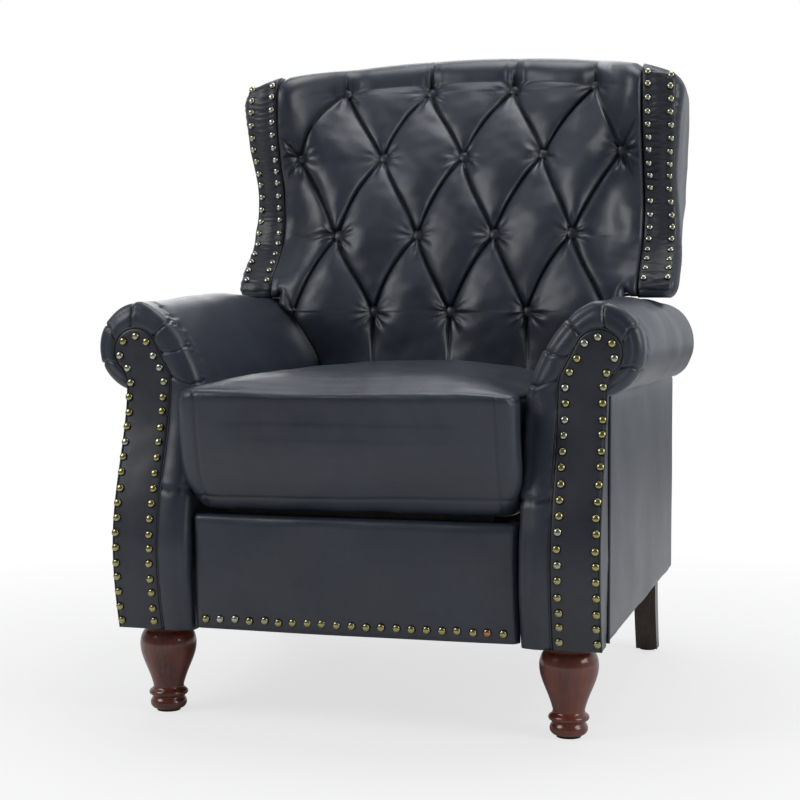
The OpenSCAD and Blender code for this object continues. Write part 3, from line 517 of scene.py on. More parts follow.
def armOutline(step=0.0018):
    # the arm's edge, its outward normal, the panel's edge beside it, and the share of the scroll passed
    f = armForm
    low, roll = f["low"], f["roll"]
    flank = [(rollX - (rollX - f["inner"]) * cos(a) ** (4 / 3), rollZ - roll + 2 * roll * sin(a) ** (4 / 3))
             for a in np.linspace(0, pi / 2 - 0.0001, 60)]
    over = [(rollX + roll * cos(a), rollZ + roll * sin(a))
            for a in np.linspace(pi / 2 - 0.03, -math.acos(f["rollInset"] / roll), 60)]
    scroll = spread(flank + over, step)
    count = len(scroll)
    zOut = scroll[-1][1]
    n1, n3 = int((rollZ - roll - low) / 0.005), int((zOut - low) / 0.007)
    straight = [(f["inner"], low + (scroll[0][1] - low) * k / n1) for k in range(n1)]
    outer = [(f["outer"], zOut + (low - zOut) * k / n3) for k in range(1, n3 + 1)]
    edge = np.concatenate([straight, scroll, outer])
    share = np.concatenate([np.full(n1, -1.0), np.linspace(0, 1, count), np.full(n3, 2.0)])
    # the panel's edge, matched so that its head spans the scroll
    whole = panelLine(0, low + 0.001, 0.001)
    head = np.nonzero(whole[:, 1] > panelNeck - 0.012)[0]
    first, last = head[0], head[-1]
    rise = whole[np.interp(np.linspace(0, 1, n1, endpoint=False), [0, 1], [0, first]).astype(int)]
    rise[:, 1] = np.linspace(low + 0.001, whole[first][1], n1, endpoint=False)
    mid, marks = np.linspace(0, 1, count) ** 0.92, np.linspace(0, 1, last - first + 1)
    top = np.stack([np.interp(mid, marks, column[first:last + 1]) for column in whole.T], axis=1)
    fall = np.stack([np.full(n3, panelOut), np.linspace(whole[last][1], low + 0.001, n3 + 1)[1:]], axis=1)
    way = along(edge)
    corner = n1 + count - 1
    way[corner] = way[corner - 1]
    way[corner + 1] = (0, -1)
    return edge, np.stack([-way[:, 1], way[:, 0]], axis=1), np.concatenate([rise, top, fall]), share


def buildArm(side):
    f = armForm
    edge, normal, panel, share = armOutline()
    cols = len(edge)
    r, rearRound = f["edge"], 0.012
    rows, depth, front, fold = [], [], [], []     # cross-sections, their y, 1 on the front face, painted shade in folds and seams
    onScroll = ((share >= 0) & (share <= 1)).astype(float)
    softEdge = np.minimum(r, np.linalg.norm(edge - panel, axis=1) * 0.8)
    inset = edge - normal * softEdge[:, None]

    def add(points, y, forward, dark=0.0):
        rows.append(points); depth.append(np.broadcast_to(y, (cols,)))
        front.append(np.full(cols, forward)); fold.append(np.full(cols, dark))

    puff = f["puff"] * np.clip(np.linalg.norm(inset - panel, axis=1) / 0.03, 0.1, 1)
    # each band row: how far it lies from the panel towards the edge, and its painted shade, darkest where the band
    # tucks in at the panel
    bandRows = [(0, 0.85), (0.04, 0.5), (0.10, 0.12)] + [(9 * k / 100, 0) for k in range(2, 11)]
    for t, dark in bandRows:
        flat = panel + (inset - panel) * t
        lift = puff * sin(pi * min(1, t * 1.05)) ** 0.6 if t > 0 else -0.005
        add(flat, frontY(flat[:, 1]) - lift, 1, dark)
    for a in np.linspace(0, pi / 2, 8):
        flat = inset + normal * (softEdge * sin(a))[:, None]
        add(flat, frontY(edge[:, 1]) + r * (1 - cos(a)), 1 - a / pi * 2)
    start = frontY(edge[:, 1]) + r
    end = f["rear"] - rearRound
    for t in np.concatenate([np.linspace(0.003, 0.075, 26), np.linspace(0.09, 0.72, 30)[:-1], [0.735]]) / 0.75:
        add(edge, start + (end - start) * t, 0)
    for up, back in quarter(5, 0.2):
        add(edge - normal * rearRound * back, end + rearRound * up, 0)
    middle = np.stack([np.full(cols, (f["inner"] + f["outer"]) / 2), np.minimum(edge[:, 1], rollZ - 0.05)], axis=1)
    middle = np.where((onScroll > 0)[:, None], np.array([[rollX, rollZ]]), middle)
    for t in (0.3, 0.65, 1.0):
        add((edge - normal * rearRound) * (1 - t) + middle * t, f["rear"], 0)
    flat, y, front, fold = (np.array(part) for part in (rows, depth, front, fold))
    count = len(rows)
    away = np.maximum(0, y - start)          # distance behind the front edge
    way = np.stack([normal[:, 0] * (1 - front), -front, normal[:, 1] * (1 - front)], axis=-1)
    way /= np.linalg.norm(way, axis=-1, keepdims=True)
    points = np.stack([flat[..., 0], y, flat[..., 1]], axis=-1)
    x, y, z = np.moveaxis(points, -1, 0)
    move = np.zeros((count, cols))
    dice = np.random.default_rng(5 if side > 0 else 6)
    passed = passedAlong(edge)
    first, last = np.nonzero(onScroll)[0][[0, -1]]
    passedBy = passed - passed[first]
    # 0 at the panel, 1 at the band's outer edge
    frontRow = np.concatenate([np.linspace(0, 1, len(bandRows)), np.ones(count - len(bandRows))])[:, None]
    for spot in f["pleats"]:
        place = (spot + dice.uniform(-0.012, 0.012)) * passedBy[last]
        off = passedBy - place - dice.uniform(-0.006, 0.006) * np.clip(away / 0.03, 0, 1)      # metres from the pleat
        near = np.where(front > 0, off * (0.35 + 0.65 * frontRow), off)
        reachBack = dice.uniform(0.007, 0.016)
        gone = hump(away, reachBack) * onScroll
        size = f["pleatDepth"] * dice.uniform(0.8, 1.2)
        cut = hump(near, 0.0016) + 0.35 * hump(near, np.where(near > 0, 0.006, 0.0022))
        move += size * (0.25 * hump(near + 0.0055, 0.004) - cut) * gone
        # painted shade down the pleat
        fold = np.maximum(fold, hump(near, 0.0013) * gone)
        # the pucker where a pleat ends on the roll
        pucker = hump(away - reachBack, 0.006) * hump(off, 0.010) * (front == 0) * onScroll
        move += 0.0016 * pucker * np.sin(off * 700 + dice.uniform(0, 3))
        # painted shade in the pucker's hollows
        fold = np.maximum(fold, 0.45 * pucker * (np.sin(off * 700) < -0.5))
    # the soft, crinkled line behind the band, strongest on the outer side of the roll
    line = away - 0.030 - 0.002 * np.sin(passedBy * 60)
    ring = (front == 0) * onScroll * ease((share - 0.05) / 0.2) * ease((1.0 - share) / 0.15)
    crinkle = ripple(points * np.array([1, 0.35, 1]), 0.014, 51 + side)
    move += 0.0010 * (hump(line, 0.012) * crinkle - hump(line, 0.0055)) * ring
    # cross seam on the inner side of the band
    innerSide = (share < 0) * hump(away, 0.02)
    seamOff = z - f["seam"] - 0.0012 * np.sin(x * 160)
    move -= 0.0022 * hump(seamOff, 0.0018) * innerSide
    move += 0.0013 * (hump(seamOff - 0.009, 0.006) + 0.6 * hump(seamOff + 0.009, 0.006)) * innerSide
    # painted shade in the seam
    fold = np.maximum(fold, 0.85 * hump(seamOff, 0.0012) * innerSide)
    # crinkled leather on the inner edge of the band
    edgeCrease = ripple(points * np.array([1, 1, 0.5]), 0.02, 55 + side) * innerSide * (front < 1)
    move += 0.0006 * edgeCrease * ease((z - 0.30) / 0.05)
    # soft hollows along the roll and the sides
    calm = np.clip(y * 4 + 1.9, 0.5, 1)
    move += ripple(points, 0.12, 21 + side) * 0.0010 * calm + ripple(points, 0.045, 31 + side) * 0.0003
    # the roll's seam against the side panel
    past = passed - passed[last]
    move -= 0.0012 * hump(past + 0.004, 0.004) * (front < 0.4)
    # painted shade along the seam
    fold = np.maximum(fold, 0.8 * hump(past + 0.0005, 0.0018) * (front < 0.3))
    move[-3:] = 0
    # the roll fills out a little towards the back and draws in
    top = ease((z - 0.50) / 0.09) * ease((y + 0.34) / 0.30) * (1 - 0.6 * ease((y - 0.22) / 0.18))
    points = points + way * move[..., None]
    x, y, z = np.moveaxis(points, -1, 0)
    if side > 0:
        z += top * (f["rise"] + 0.004 * (1 - ease((y + 0.10) / 0.40)))
    else:
        z += top * (-0.003 + 0.019 * ease((y + 0.385) / 0.10) - 0.006 * ease((y + 0.05) / 0.20))
    x -= f["tuckIn"] * ease((z - 0.455) / 0.05) * ease((y + 0.34) / 0.72)
    x -= 0.004 * (share > 1) * ease((y + 0.345) / 0.008)
    x *= side
    faces = gridFaces(count, cols)
    faces += [[k * cols, (k + 1) * cols, (k + 2) * cols - 1, (k + 1) * cols - 1] for k in range(count - 1)]
    name = sideName[side]
    made = leatherPiece("arm" + name, (points.reshape(-1, 3), faces), "base", "arm_pad_" + name.lower(), fold)


def buildFrontPanel(side):
    f = armForm
    outline = panelLine(-0.0004, f["low"] + 0.001, 0.0025)
    way = along(outline)
    normal = np.stack([-way[:, 1], way[:, 0]], axis=1)
    centreX, high = (panelIn + panelOut) / 2, outline[:, 1]
    middleX = centreX + (headX - centreX) * ease((high - panelNeck + 0.02) / 0.05)
    middle = np.stack([middleX, np.minimum(high, headZ)], axis=1)
    rows = []
    for inset, depth in ((0, 0.004), (0, -0.0006), (0.0006, -0.0018), (0.0018, -0.0028), (0.004, -0.0032)):
        flat = outline - normal * inset
        flat[:, 1] = np.maximum(flat[:, 1], f["low"] + 0.001)
        rows.append(np.stack([flat[:, 0], frontY(flat[:, 1]) + depth, flat[:, 1]], axis=1))
    base = rows[-1][:, [0, 2]]
    for t in (0.2, 0.45, 0.7, 1.0):
        flat = base * (1 - t) + middle * t
        y = frontY(flat[:, 1]) - 0.0032 - 0.0012 * sin(t * 1.57)
        rows.append(np.stack([flat[:, 0], y, flat[:, 1]], axis=1))
    points = np.array(rows)
    points[5:, :, 1] += ripple(points[5:], 0.05, 41 + side) * 0.0003
    fold = np.zeros(points.shape[:2])
    # painted shade on the two edge rows, where the panel tucks under the piping
    fold[:2] = 0.9
    points[..., 0] *= side
    name, shape = sideName[side], (points.reshape(-1, 3), gridFaces(*fold.shape))
    leatherPiece("frontPanel" + name, shape, "base", "front_panel_" + name.lower(), fold, panelLeather)


def buildPanelPiping():
    parts = []
    for side in (1, -1):
        x, z = panelLine(0.0010, armForm["low"] + 0.001, 0.003).T
        parts.append(tube(np.stack([side * x, frontY(z) - 0.0012, z], axis=1), 0.0016))
    weltPiece("panelPiping", parts, "base", ("panel_piping",))


def buildArmNails():
    places = nailPlaces(panelLine(-0.0105, armForm["low"] + 0.012, 0.0005))
    dice = np.random.default_rng(12)
    spots, ways = [], []
    for side in (1, -1):
        for x, z in places:
            x += dice.normal() * 0.0006
            z += dice.normal() * 0.0008
            spots.append((side * x, frontY(z) - 0.0040, z))
            ways.append((0, -1, (frontY(z + 0.002) - frontY(z - 0.002)) / 0.004))
    nailHeads("armNails", spots, ways, "base", ("arm_nails",), 3)


def buildSidePanel():
    y0, y1 = -0.336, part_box("outer_side_panels")[1][1] + 0.006
    z0, z1 = armForm["low"] + 0.001, rollZ - 0.060
    ys = np.concatenate([[y0, y0 + 0.0015, y0 + 0.005], np.linspace(y0 + 0.012, y1 - 0.012, 60),
                         [y1 - 0.005, y1 - 0.0015, y1]])
    zs = np.concatenate([[z0, z0 + 0.0015, z0 + 0.005], np.linspace(z0 + 0.012, z1 - 0.006, 40), [z1]])
    yy, zz = np.meshgrid(ys, zs)
    rim = np.minimum.reduce([yy - y0, y1 - yy, zz - z0, (z1 - zz) * 0.6 + 0.002])
    lift = 0.0048 * (1 - np.exp(-rim / 0.0022)) + 0.0022 * (1 - np.exp(-rim / 0.06))
    parts, welts = [], []
    for side in (1, -1):
        points = np.stack([np.full_like(yy, 0.3455) + lift, yy, zz], axis=-1)
        points[..., 0] += ripple(points, 0.16, 51 + side) * 0.0009 * np.clip(rim / 0.04, 0, 1)
        points[..., 0] *= side
        parts.append((points.reshape(-1, 3), gridFaces(len(zs), len(ys))))
        x = side * 0.3505
        welts.append(tube(spread([(x, y0 - 0.001, z0 + 0.002), (x, y0 - 0.001, z1 + 0.002)], 0.01), 0.0021))
        welts.append(tube(spread([(x, y0, z1 + 0.0015), (x, y1 - 0.01, z1 + 0.0015)], 0.02), 0.0019, (1, 0, 0)))
    # painted shade along the panel's edges, beside the welts
    fold = np.tile(0.8 * np.exp(-rim / 0.0016).ravel(), 2)
    leatherPiece("sidePanels", gather(parts), "base", "outer_side_panels", fold)
    weltPiece("sideWelts", welts, "base")


for side in (1, -1):
    buildArm(side)
    buildFrontPanel(side)
buildPanelPiping()
buildArmNails()
buildSidePanel()
print("arms built")


# ---- back ----

backForm = {
    "top": 1.040, "low": 0.300, "lean": math.radians(9.5),
    "coverY": 0.375, "coverZ": 0.560, "cover": 0.005, "frame": 0.038,
    "wing": 0.388, "pad": 0.318, "between": 0.230, "wingLow": 0.615, "wingTop": 0.976,
    "band": 0.055, "corner": 0.030, "drop": 0.008, "rearIn": 0.014, "taper": 0.017,
    "spacing": (0.0017, 0.0032),      # mesh spacing of the tufting, finished and quick
    "tuft": 0.030,
    "rowZ": (0.584, 0.715, 0.853, 0.974),
    "pitch": (0.135, 0.136, 0.142, 0.151),
    "count": (3, 4, 5, 4),
    "round": 0.048,
    "button": 0.0112,
    "flat": 0.74,         # height of the tufting where it has faded out, as a share
    "rearTop": 0.955,     # above this the pad's rear face is folded under the rolled top
    "coverHalf": 0.366,
    # pulls from the outer buttons: side, place, length and strength
    "pulls": ((1, 0.284, 0.853, 0.04, 1), (-1, 0.284, 0.853, 0.04, 1), (-1, 0.204, 0.716, 0.115, 0.8),
              (-1, 0.204, 0.722, 0.075, 0.5), (1, 0.204, 0.714, 0.09, 0.35)),
    # section of the nailed bands: share of their width, and lift in tenths of a millimetre
    "bandProfile": ((0.0, -40), (0.0, -15), (0.02, 0), (0.06, 10), (0.13, 16), (0.22, 12), (0.31, 20), (0.4, 28),
                    (0.5, 32), (0.6, 28), (0.69, 20), (0.78, 12), (0.87, 14), (0.94, 6), (0.98, -6), (1.0, -22),
                    (1.0, -50)),
    "reclined": (0.340, 0.317, 0.866),    # a height on the back, where it comes when reclined, and the share after it
}
wingLine = np.array([(0, .150), (.06, .163), (.12, .192), (.2, .225), (.32, .240), (.435, .233),
                     (.555, .213), (.67, .197), (.79, .195), (.87, .206), (1, .245)])
rowZ = np.array(backForm["rowZ"])


def wingY(z):
    share = (np.asarray(z, float) - backForm["wingLow"]) / (backForm["top"] - backForm["wingLow"])
    return sum(np.interp(share + d, wingLine[:, 0], wingLine[:, 1]) for d in (-0.03, -0.015, 0, 0.015, 0.03)) / 5


def rearY(z):
    return backForm["coverY"] + (np.asarray(z, float) - backForm["coverZ"]) * math.tan(backForm["lean"])


def topZ(x):
    return backForm["top"] - 0.046 * (np.abs(x) / backForm["wing"]) ** 2


def rowOf(z):
    # the row of buttons at height z, counted on past the first and the last one
    v = np.interp(z, rowZ, np.arange(4))
    v = np.where(z < rowZ[0], (z - rowZ[0]) / (rowZ[1] - rowZ[0]), v)
    return np.where(z > rowZ[3], 3 + (z - rowZ[3]) / (rowZ[3] - rowZ[2]), v)


def buttonY(x, z):
    t = (z - rowZ[0]) * 1000
    x = np.abs(x)
    middle = (182 + 0.169 * t + 0.00063 * t * t) / 1000 - 0.45 * x * x * ease((z - 0.5) / 0.084)
    share = ease((x - 0.2) / (backForm["pad"] - 0.2)) * ease((z - 0.56) / 0.06)
    return middle * (1 - share) + (wingY(z) + 0.0156) * share


def buttonSpots():
    return np.array([((k - (count - 1) / 2) * backForm["pitch"][row], rowZ[row])
                     for row, count in enumerate(backForm["count"]) for k in range(count)])


def tufting(x, z):
    # height of the pillows, 0 in the dimples to 1, a mask for painted shade along the creases, and how deep in a
    # crease a point lies
    v = rowOf(z)
    pitch = np.interp(z, rowZ, backForm["pitch"])
    u = x / pitch
    c = np.clip(v, 0, 3)
    wob = ripple(np.stack([x, np.zeros_like(x), z], axis=-1), 0.16, 71) * 0.016
    a, b = u + c / 2 + wob, u - c / 2 + wob * 0.7
    inside = (v > 0) & (v < 3)
    b = b + 0.055 * np.sin(np.pi * (a - np.floor(a))) * inside       # the rising creases bow up and outward
    a = a + 0.012 * np.sin(2 * np.pi * (b - np.floor(b))) * inside
    nearA, nearB = (np.abs(t - np.round(t)) for t in (a, b))
    swellA, swellB = (np.sin(np.pi * near) ** 0.40 for near in (nearA, nearB))
    high = 0.42 * (swellA + swellB) / 2 + 0.58 * swellA ** 0.72 * swellB ** 0.72
    high = high * 0.94 + 0.06
    near = np.minimum(nearA, nearB) * pitch * 0.86
    # above the top row and below the lowest one the creases are upright pleats that fade out
    above = np.clip((z - rowZ[3]) / 0.040, 0, 1)
    below = np.clip((rowZ[0] - z) / 0.10, 0, 1)
    outer = np.where(v > 2.6, 1.9, np.where(v < 0.05, 1.3, 9))
    pleat = np.where(v > 3, 1 - 0.6 * above, np.where(v < 0, 1 - 0.65 * below, 1)) * (np.abs(u) <= outer)
    fade = ease((np.abs(u) - 1.92) / 0.28) * (v > 0)
    flat = backForm["flat"]
    high = flat + (high - flat) * ease(1 - np.maximum(above * 0.95, below * 0.9))
    crease, groove = (hump(near, width) * pleat * (1 - fade) for width in (0.0015, 0.0022))
    return high * (1 - fade) + flat * fade, crease, groove


def sidePleats(x, z):
    # short pulls from the outer buttons to the wings, and the painted shade along them
    total, dark = np.zeros_like(x), np.zeros_like(x)
    dice = np.random.default_rng(9)
    for side, spotX, spotZ, length, share in backForm["pulls"]:
        away = side * x - spotX
        line = z - spotZ - 0.003 * np.sin(away * 60 + dice.uniform(0, 3))
        reach = share * ease(away / 0.006) * ease((length - away) / (length * 0.5))
        total += reach * (hump(line, 0.0035) - 0.4 * hump(line - 0.009, 0.006))
        dark += reach * hump(line, 0.0014)
    return total, dark


def padSurface(x, z):
    # depth of the tufted face at (x, z), with its painted shade in the creases, along the pulls and round the buttons
    high, crease, groove = tufting(x, z)
    pull, dark = sidePleats(x, z)
    fadeEdge = ease((backForm["pad"] - np.abs(x)) / 0.02)
    y = buttonY(x, z) - backForm["tuft"] * high + 0.0042 * groove + 0.003 * pull * fadeEdge
    shade = crease * 0.95 + dark * 0.85
    for number, (bx, bz) in enumerate(buttonSpots()):
        dx, dz = x - bx, z - bz
        away = np.hypot(dx, dz)
        if not (away < 0.07).any():
            continue
        turn = np.arctan2(dz, dx)
        dice = np.random.default_rng(100 + number)
        waves = sum(dice.uniform(0.4, 1) * np.sin(k * turn + dice.uniform(0, 6.28)) for k in (5, 7, 9, 12))
        y = y + waves * 0.0011 * hump(away - 0.020, 0.014) * (away < 0.07) + 0.0045 * hump(away, 0.0125)
        # painted shade in a ring round each button
        shade = np.maximum(shade, 0.6 * hump(away - 0.0125, 0.0028))
    place = np.stack([x, y, z], axis=-1)
    y = y + (ripple(place, 0.07, 77) * 0.0010 + ripple(place, 0.030, 78) * 0.00035) * (1 - groove)
    return y, np.clip(shade, 0, 1)


def padTop(x):
    # the top edge of the padding, which drops a little to meet the wings
    return topZ(x) - 0.011 * ease((np.abs(x) - 0.20) / 0.115)


def padHalf(z):
    # half the pad's width below the wings, where it follows the lean of the arms
    z = min(z - 0.012, armForm["top"] - 0.001)
    low = rollZ - armForm["roll"]
    if z <= low:
        return backForm["between"]
    share = ((z - low) / (2 * armForm["roll"])) ** 1.5
    lean = rollX - (rollX - armForm["inner"]) * (1 - share) ** (1 / 1.5)
    return float(np.clip(lean - 0.009, backForm["between"], 0.300))


def buildTuftedPad():
    f = backForm
    space = f["spacing"][0]
    split = f["wingLow"] + 0.002
    half = int(round(f["pad"] / space))
    xs = np.linspace(-f["pad"], f["pad"], 2 * half + 1)
    away, columns = np.abs(xs), len(xs)
    widest, hold = padHalf(split), 0.190
    inner = away <= widest
    edgeRound, sideRound, rollRows = 0.016, 0.006, 22
    topEdge = padTop(xs)
    grid, shades, live = [], [], []

    def add(x, y, z, shade, alive=np.ones(columns, bool)):
        grid.append(np.stack([x, y, z], axis=-1)); shades.append(shade); live.append(alive)

    lowRows = [*np.linspace(f["low"], 0.50, 30)[:-1], *np.linspace(0.50, split, int(0.117 / space))[:-1]]
    for level in lowRows:
        # columns near the edge crowd together where the pad narrows, the tufted middle keeps its place
        bound, z = padHalf(level), np.full(columns, level)
        x = np.where(away > hold, np.sign(xs) * (hold + (away - hold) * (bound - hold) / (widest - hold)), xs)
        y, shade = padSurface(x, z)
        add(x, y + edgeRound * roundOff(bound - np.abs(x), edgeRound, 0.999), z, shade, inner)
    # painted shade grows towards the pad's outer edge, beside the wings
    side = 1 - np.clip((f["pad"] - away) / sideRound, 0, 1)
    for t in np.linspace(0, 1, int(0.385 / space)):
        z = split + (topEdge - f["round"] - split) * t
        y, shade = padSurface(xs, z)
        toEdge = np.where(away < widest, np.hypot(widest - away, np.maximum(0, z - split)), z - split)
        y = y + edgeRound * roundOff(toEdge, edgeRound, 0.999)
        y = y + sideRound * roundOff(f["pad"] - away, sideRound, 0.999)
        hang = f["drop"] * (1 - ease((z - split) / 0.03)) * ease((away - widest) / 0.008)
        add(xs, y, z - hang, np.maximum(shade, 0.5 * side ** 2))
    # over the rolled top the pleats run on and fade
    last, lastShade = grid[-1], shades[-1]
    baseY = buttonY(last[:, 0], last[:, 2]) - f["tuft"] * f["flat"]
    delta = last[:, 1] - baseY
    ends = ease((away - 0.302) / 0.016)
    for k in range(1, rollRows + 1):
        a = pi / 2 * k / rollRows
        fade = (1 - k / rollRows) ** 1.5
        y = baseY + f["round"] * 1.3 * (1 - cos(a)) ** 1.3 + delta * fade * cos(a)
        z = last[:, 2] + f["round"] * sin(a) - np.clip(delta, -0.004, 0.012) * fade * sin(a) * 0.8
        add(xs, y, z - 0.005 * ends * sin(a), lastShade * fade)
    ridge = grid[-1]
    backEdge = rearY(topEdge) - f["cover"]
    for t in np.arange(1, 9) / 8:
        y = ridge[:, 1] * (1 - t) + backEdge * t
        add(xs, y, ridge[:, 2] + 0.003 * sin(pi * t) - 0.012 * t ** 2.5, np.zeros(columns))
    points, shade, live = np.array(grid), np.array(shades), np.array(live)
    # keep only the cells whose four corners are part of the pad, then close them with a rear face
    number = np.full(live.shape, -1)
    number[live] = np.arange(live.sum())
    cells = np.stack([number[:-1, :-1], number[:-1, 1:], number[1:, 1:], number[1:, :-1]], axis=-1)
    faces = cells[(cells >= 0).all(axis=-1)].tolist()
    i0, i1 = np.nonzero(inner)[0][[0, -1]].tolist()
    low, top, end = len(lowRows), len(points) - 1, columns - 1
    corners = [(0, i0), (0, i1), (low, i1), (low, end), (top, end), (top, 0), (low, 0), (low, i0), (0, i0)]
    loop = []
    for (r0, c0), (r1, c1) in zip(corners, corners[1:]):
        steps = max(abs(r1 - r0), abs(c1 - c0))
        loop += [(r0 + (r1 - r0) * k // steps, c0 + (c1 - c0) * k // steps) for k in range(steps)]
    loop = tuple(np.array(loop).T)
    ring, rear = number[loop].tolist(), points[loop]
    x, y, z = rear.T
    z[:] = np.where(z > f["rearTop"], f["rearTop"] + (z - f["rearTop"]) * 0.02, z)
    y[:] = rearY(z) - f["cover"] - f["frame"] - 0.002
    # below the wings the rear is narrower, to pass between the arms when the back lies down
    upright, lowered, share = f["reclined"]
    room = np.array([padHalf(lowered + (high - upright) * share) for high in z])
    z[:] = np.where(np.abs(x) > widest + 1e-6, np.maximum(z, split), z)
    x[:] = np.where(z < split - 1e-6, np.sign(x) * np.minimum(np.abs(x), room), x)
    first, size = int(live.sum()), len(ring)
    faces += [[ring[k], ring[(k + 1) % size], first + (k + 1) % size, first + k] for k in range(size)]
    faces.append([first + k for k in range(size)])
    made = leatherPiece("tuftedPad", (np.concatenate([points[live], rear]), faces), "back", "tufted_pad",
                        np.concatenate([shade[live], np.full(size, 0.3)]))


def buildButtons():
    profile = ((0.98, -0.004), (1.02, -0.001), (1.0, 0.0010), (0.93, 0.0027), (0.80, 0.0041), (0.6, 0.0052),
               (0.35, 0.0060), (0.12, 0.0063))
    turns = np.linspace(0, 2 * pi, 24, endpoint=False)[:, None]
    parts = []
    for x, z in buttonSpots():
        slope = (buttonY(x, z + 0.008) - buttonY(x, z - 0.008)) / 0.016
        way, lift = (np.array(line) / np.linalg.norm(line) for line in ((0, -1, slope), (0, slope, 1)))
        around = (np.array([1, 0, 0]) * np.cos(turns) + lift * np.sin(turns)) * backForm["button"]
        base = np.array([x, buttonY(x, z) - 0.0015, z])
        parts.append(shell([base + way * high + around * out for out, high in profile]))
    shape = gather(parts)
    leatherPiece("backButtons", shape, "back", "back_buttons", np.full(len(shape[0]), 0.12))


def wingOut(z):
    return 0.378 + 0.006 * np.cos(2 * pi * (z - 0.6405) / 0.330) + 0.004 * np.clip((z - 0.8) / 0.18, 0, 2)


def wingRear(z):
    f = backForm
    return f["wing"] - f["rearIn"] - f["taper"] * (1 - ease((z - f["wingLow"] - 0.006) / 0.18))


def wingRise(z):
    return ease((z - 0.900) / 0.076) * 0.3


def footDrop(y, z):
    # the front of a wing's foot hangs a little lower than its rear
    f = backForm
    behind = ease((y - 0.215) / 0.06)
    return (1 - ease((z - f["wingLow"]) / 0.045)) * (f["drop"] * (1 - behind) + 0.0015 * behind)


def cornerCut(z):
    # how far the rounded top outer corner and the softer lower one cut into the wing at height z
    f = backForm
    return f["corner"] * roundOff(f["wingTop"] - z, f["corner"]) + 0.016 * roundOff(z - f["wingLow"], 0.022)


def buildWing(side):
    f = backForm
    zs = np.concatenate([f["wingLow"] + np.array([0, 0.6, 2.2, 5, 9, 14, 19, 24]) / 1000,
                         np.linspace(0.644, 0.928, 70),
                         f["wingTop"] - np.array([44, 40, 36, 32, 28, 24, 20, 16, 12, 9, 6, 4, 2, 0.6, 0]) / 1000])
    rows = []
    inner, post = f["pad"] + 0.001, f["pad"] + 0.014
    for z in zs:
        cut = cornerCut(z)
        out = wingOut(z) - cut
        y = wingY(z) + 0.012 * roundOff(z - f["wingLow"], 0.014) + 0.014 * roundOff(f["wingTop"] - z, 0.016)
        rear = rearY(z) - f["cover"] - 0.0005
        behind = min(out, wingRear(z) - cut * 0.75)
        ring = [(inner, y + 0.010), (inner, y + 0.006), (inner + 0.003, y + 0.0032), (inner + 0.012, y + 0.0022)]
        ring += [(inner + 0.012 + (out - inner - 0.030) * t, y + 0.0022 + 0.0008 * t) for t in (0.25, 0.5, 0.75, 1.0)]
        ring += [(out - 0.018 + 0.018 * up, y + 0.003 + 0.024 * back) for up, back in quarter(8, 0.2)]
        ring += [(out + (behind - out) * t + 0.0015 * sin(pi * t), y + 0.027 + (rear - y - 0.053) * t)
                 for t in np.linspace(0.05, 1, 16)]
        ring += [(behind - 0.016 * back, rear - 0.026 + 0.026 * up) for up, back in quarter(6, 0.25)]
        ring += [(max(behind - 0.03, post + 0.002), rear), (post, rear),
                 (post, rear - f["frame"] - 0.003), (inner, rear - f["frame"] - 0.003)]
        rows.append([(px, py, z + wingRise(z) * (f["wing"] - px)) for px, py in ring])
    points = np.array(rows)
    x, y, z = np.moveaxis(points, -1, 0)
    outerShare, gathered = np.zeros((2, points.shape[1]))
    outerShare[8:34] = 1
    gathered[8:16] = 0.5, 0.8, 1, 1, 0.9, 0.7, 0.5, 0.35
    x += ripple(points, 0.10, 81 + side) * 0.0009 * outerShare
    z -= footDrop(y, z)
    # gathers that run in from the nailed edge
    crinkle = np.sin(z * 420 + 2.2 * ripple(points, 0.06, 85 + side))
    crinkle += 0.6 * np.sin(z * 787 + 1.4 * ripple(points, 0.03, 87 + side))
    y += crinkle * 0.0007 * gathered
    x -= crinkle * 0.0005 * gathered
    x *= side
    # painted shade in the troughs of the gathers
    name, fold = sideName[side], np.clip(crinkle - 0.7, 0, 0.6) * gathered
    made = leatherPiece("wing" + name, shell(points), "back", "wing_" + name.lower(), fold)


def bandEdges(z):
    # inner and outer edge of a wing's nailed band at height z, before the rise of the top
    inner = np.full_like(z, backForm["pad"] + 0.001)
    outer = np.minimum(backForm["pad"] + 0.001 + backForm["band"], wingOut(z) - cornerCut(z) - 0.0035)
    return inner, np.maximum(outer, inner + 0.004)


def bandPoint(x, z, lift):
    # a point on the band, which stands out by lift from the wing's leather
    f = backForm
    y = wingY(z) + 0.014 * roundOff(f["wingTop"] - z, 0.016) - lift
    return np.stack([x, y, z + wingRise(z) * (f["wing"] - x) - footDrop(y, z)], axis=-1)


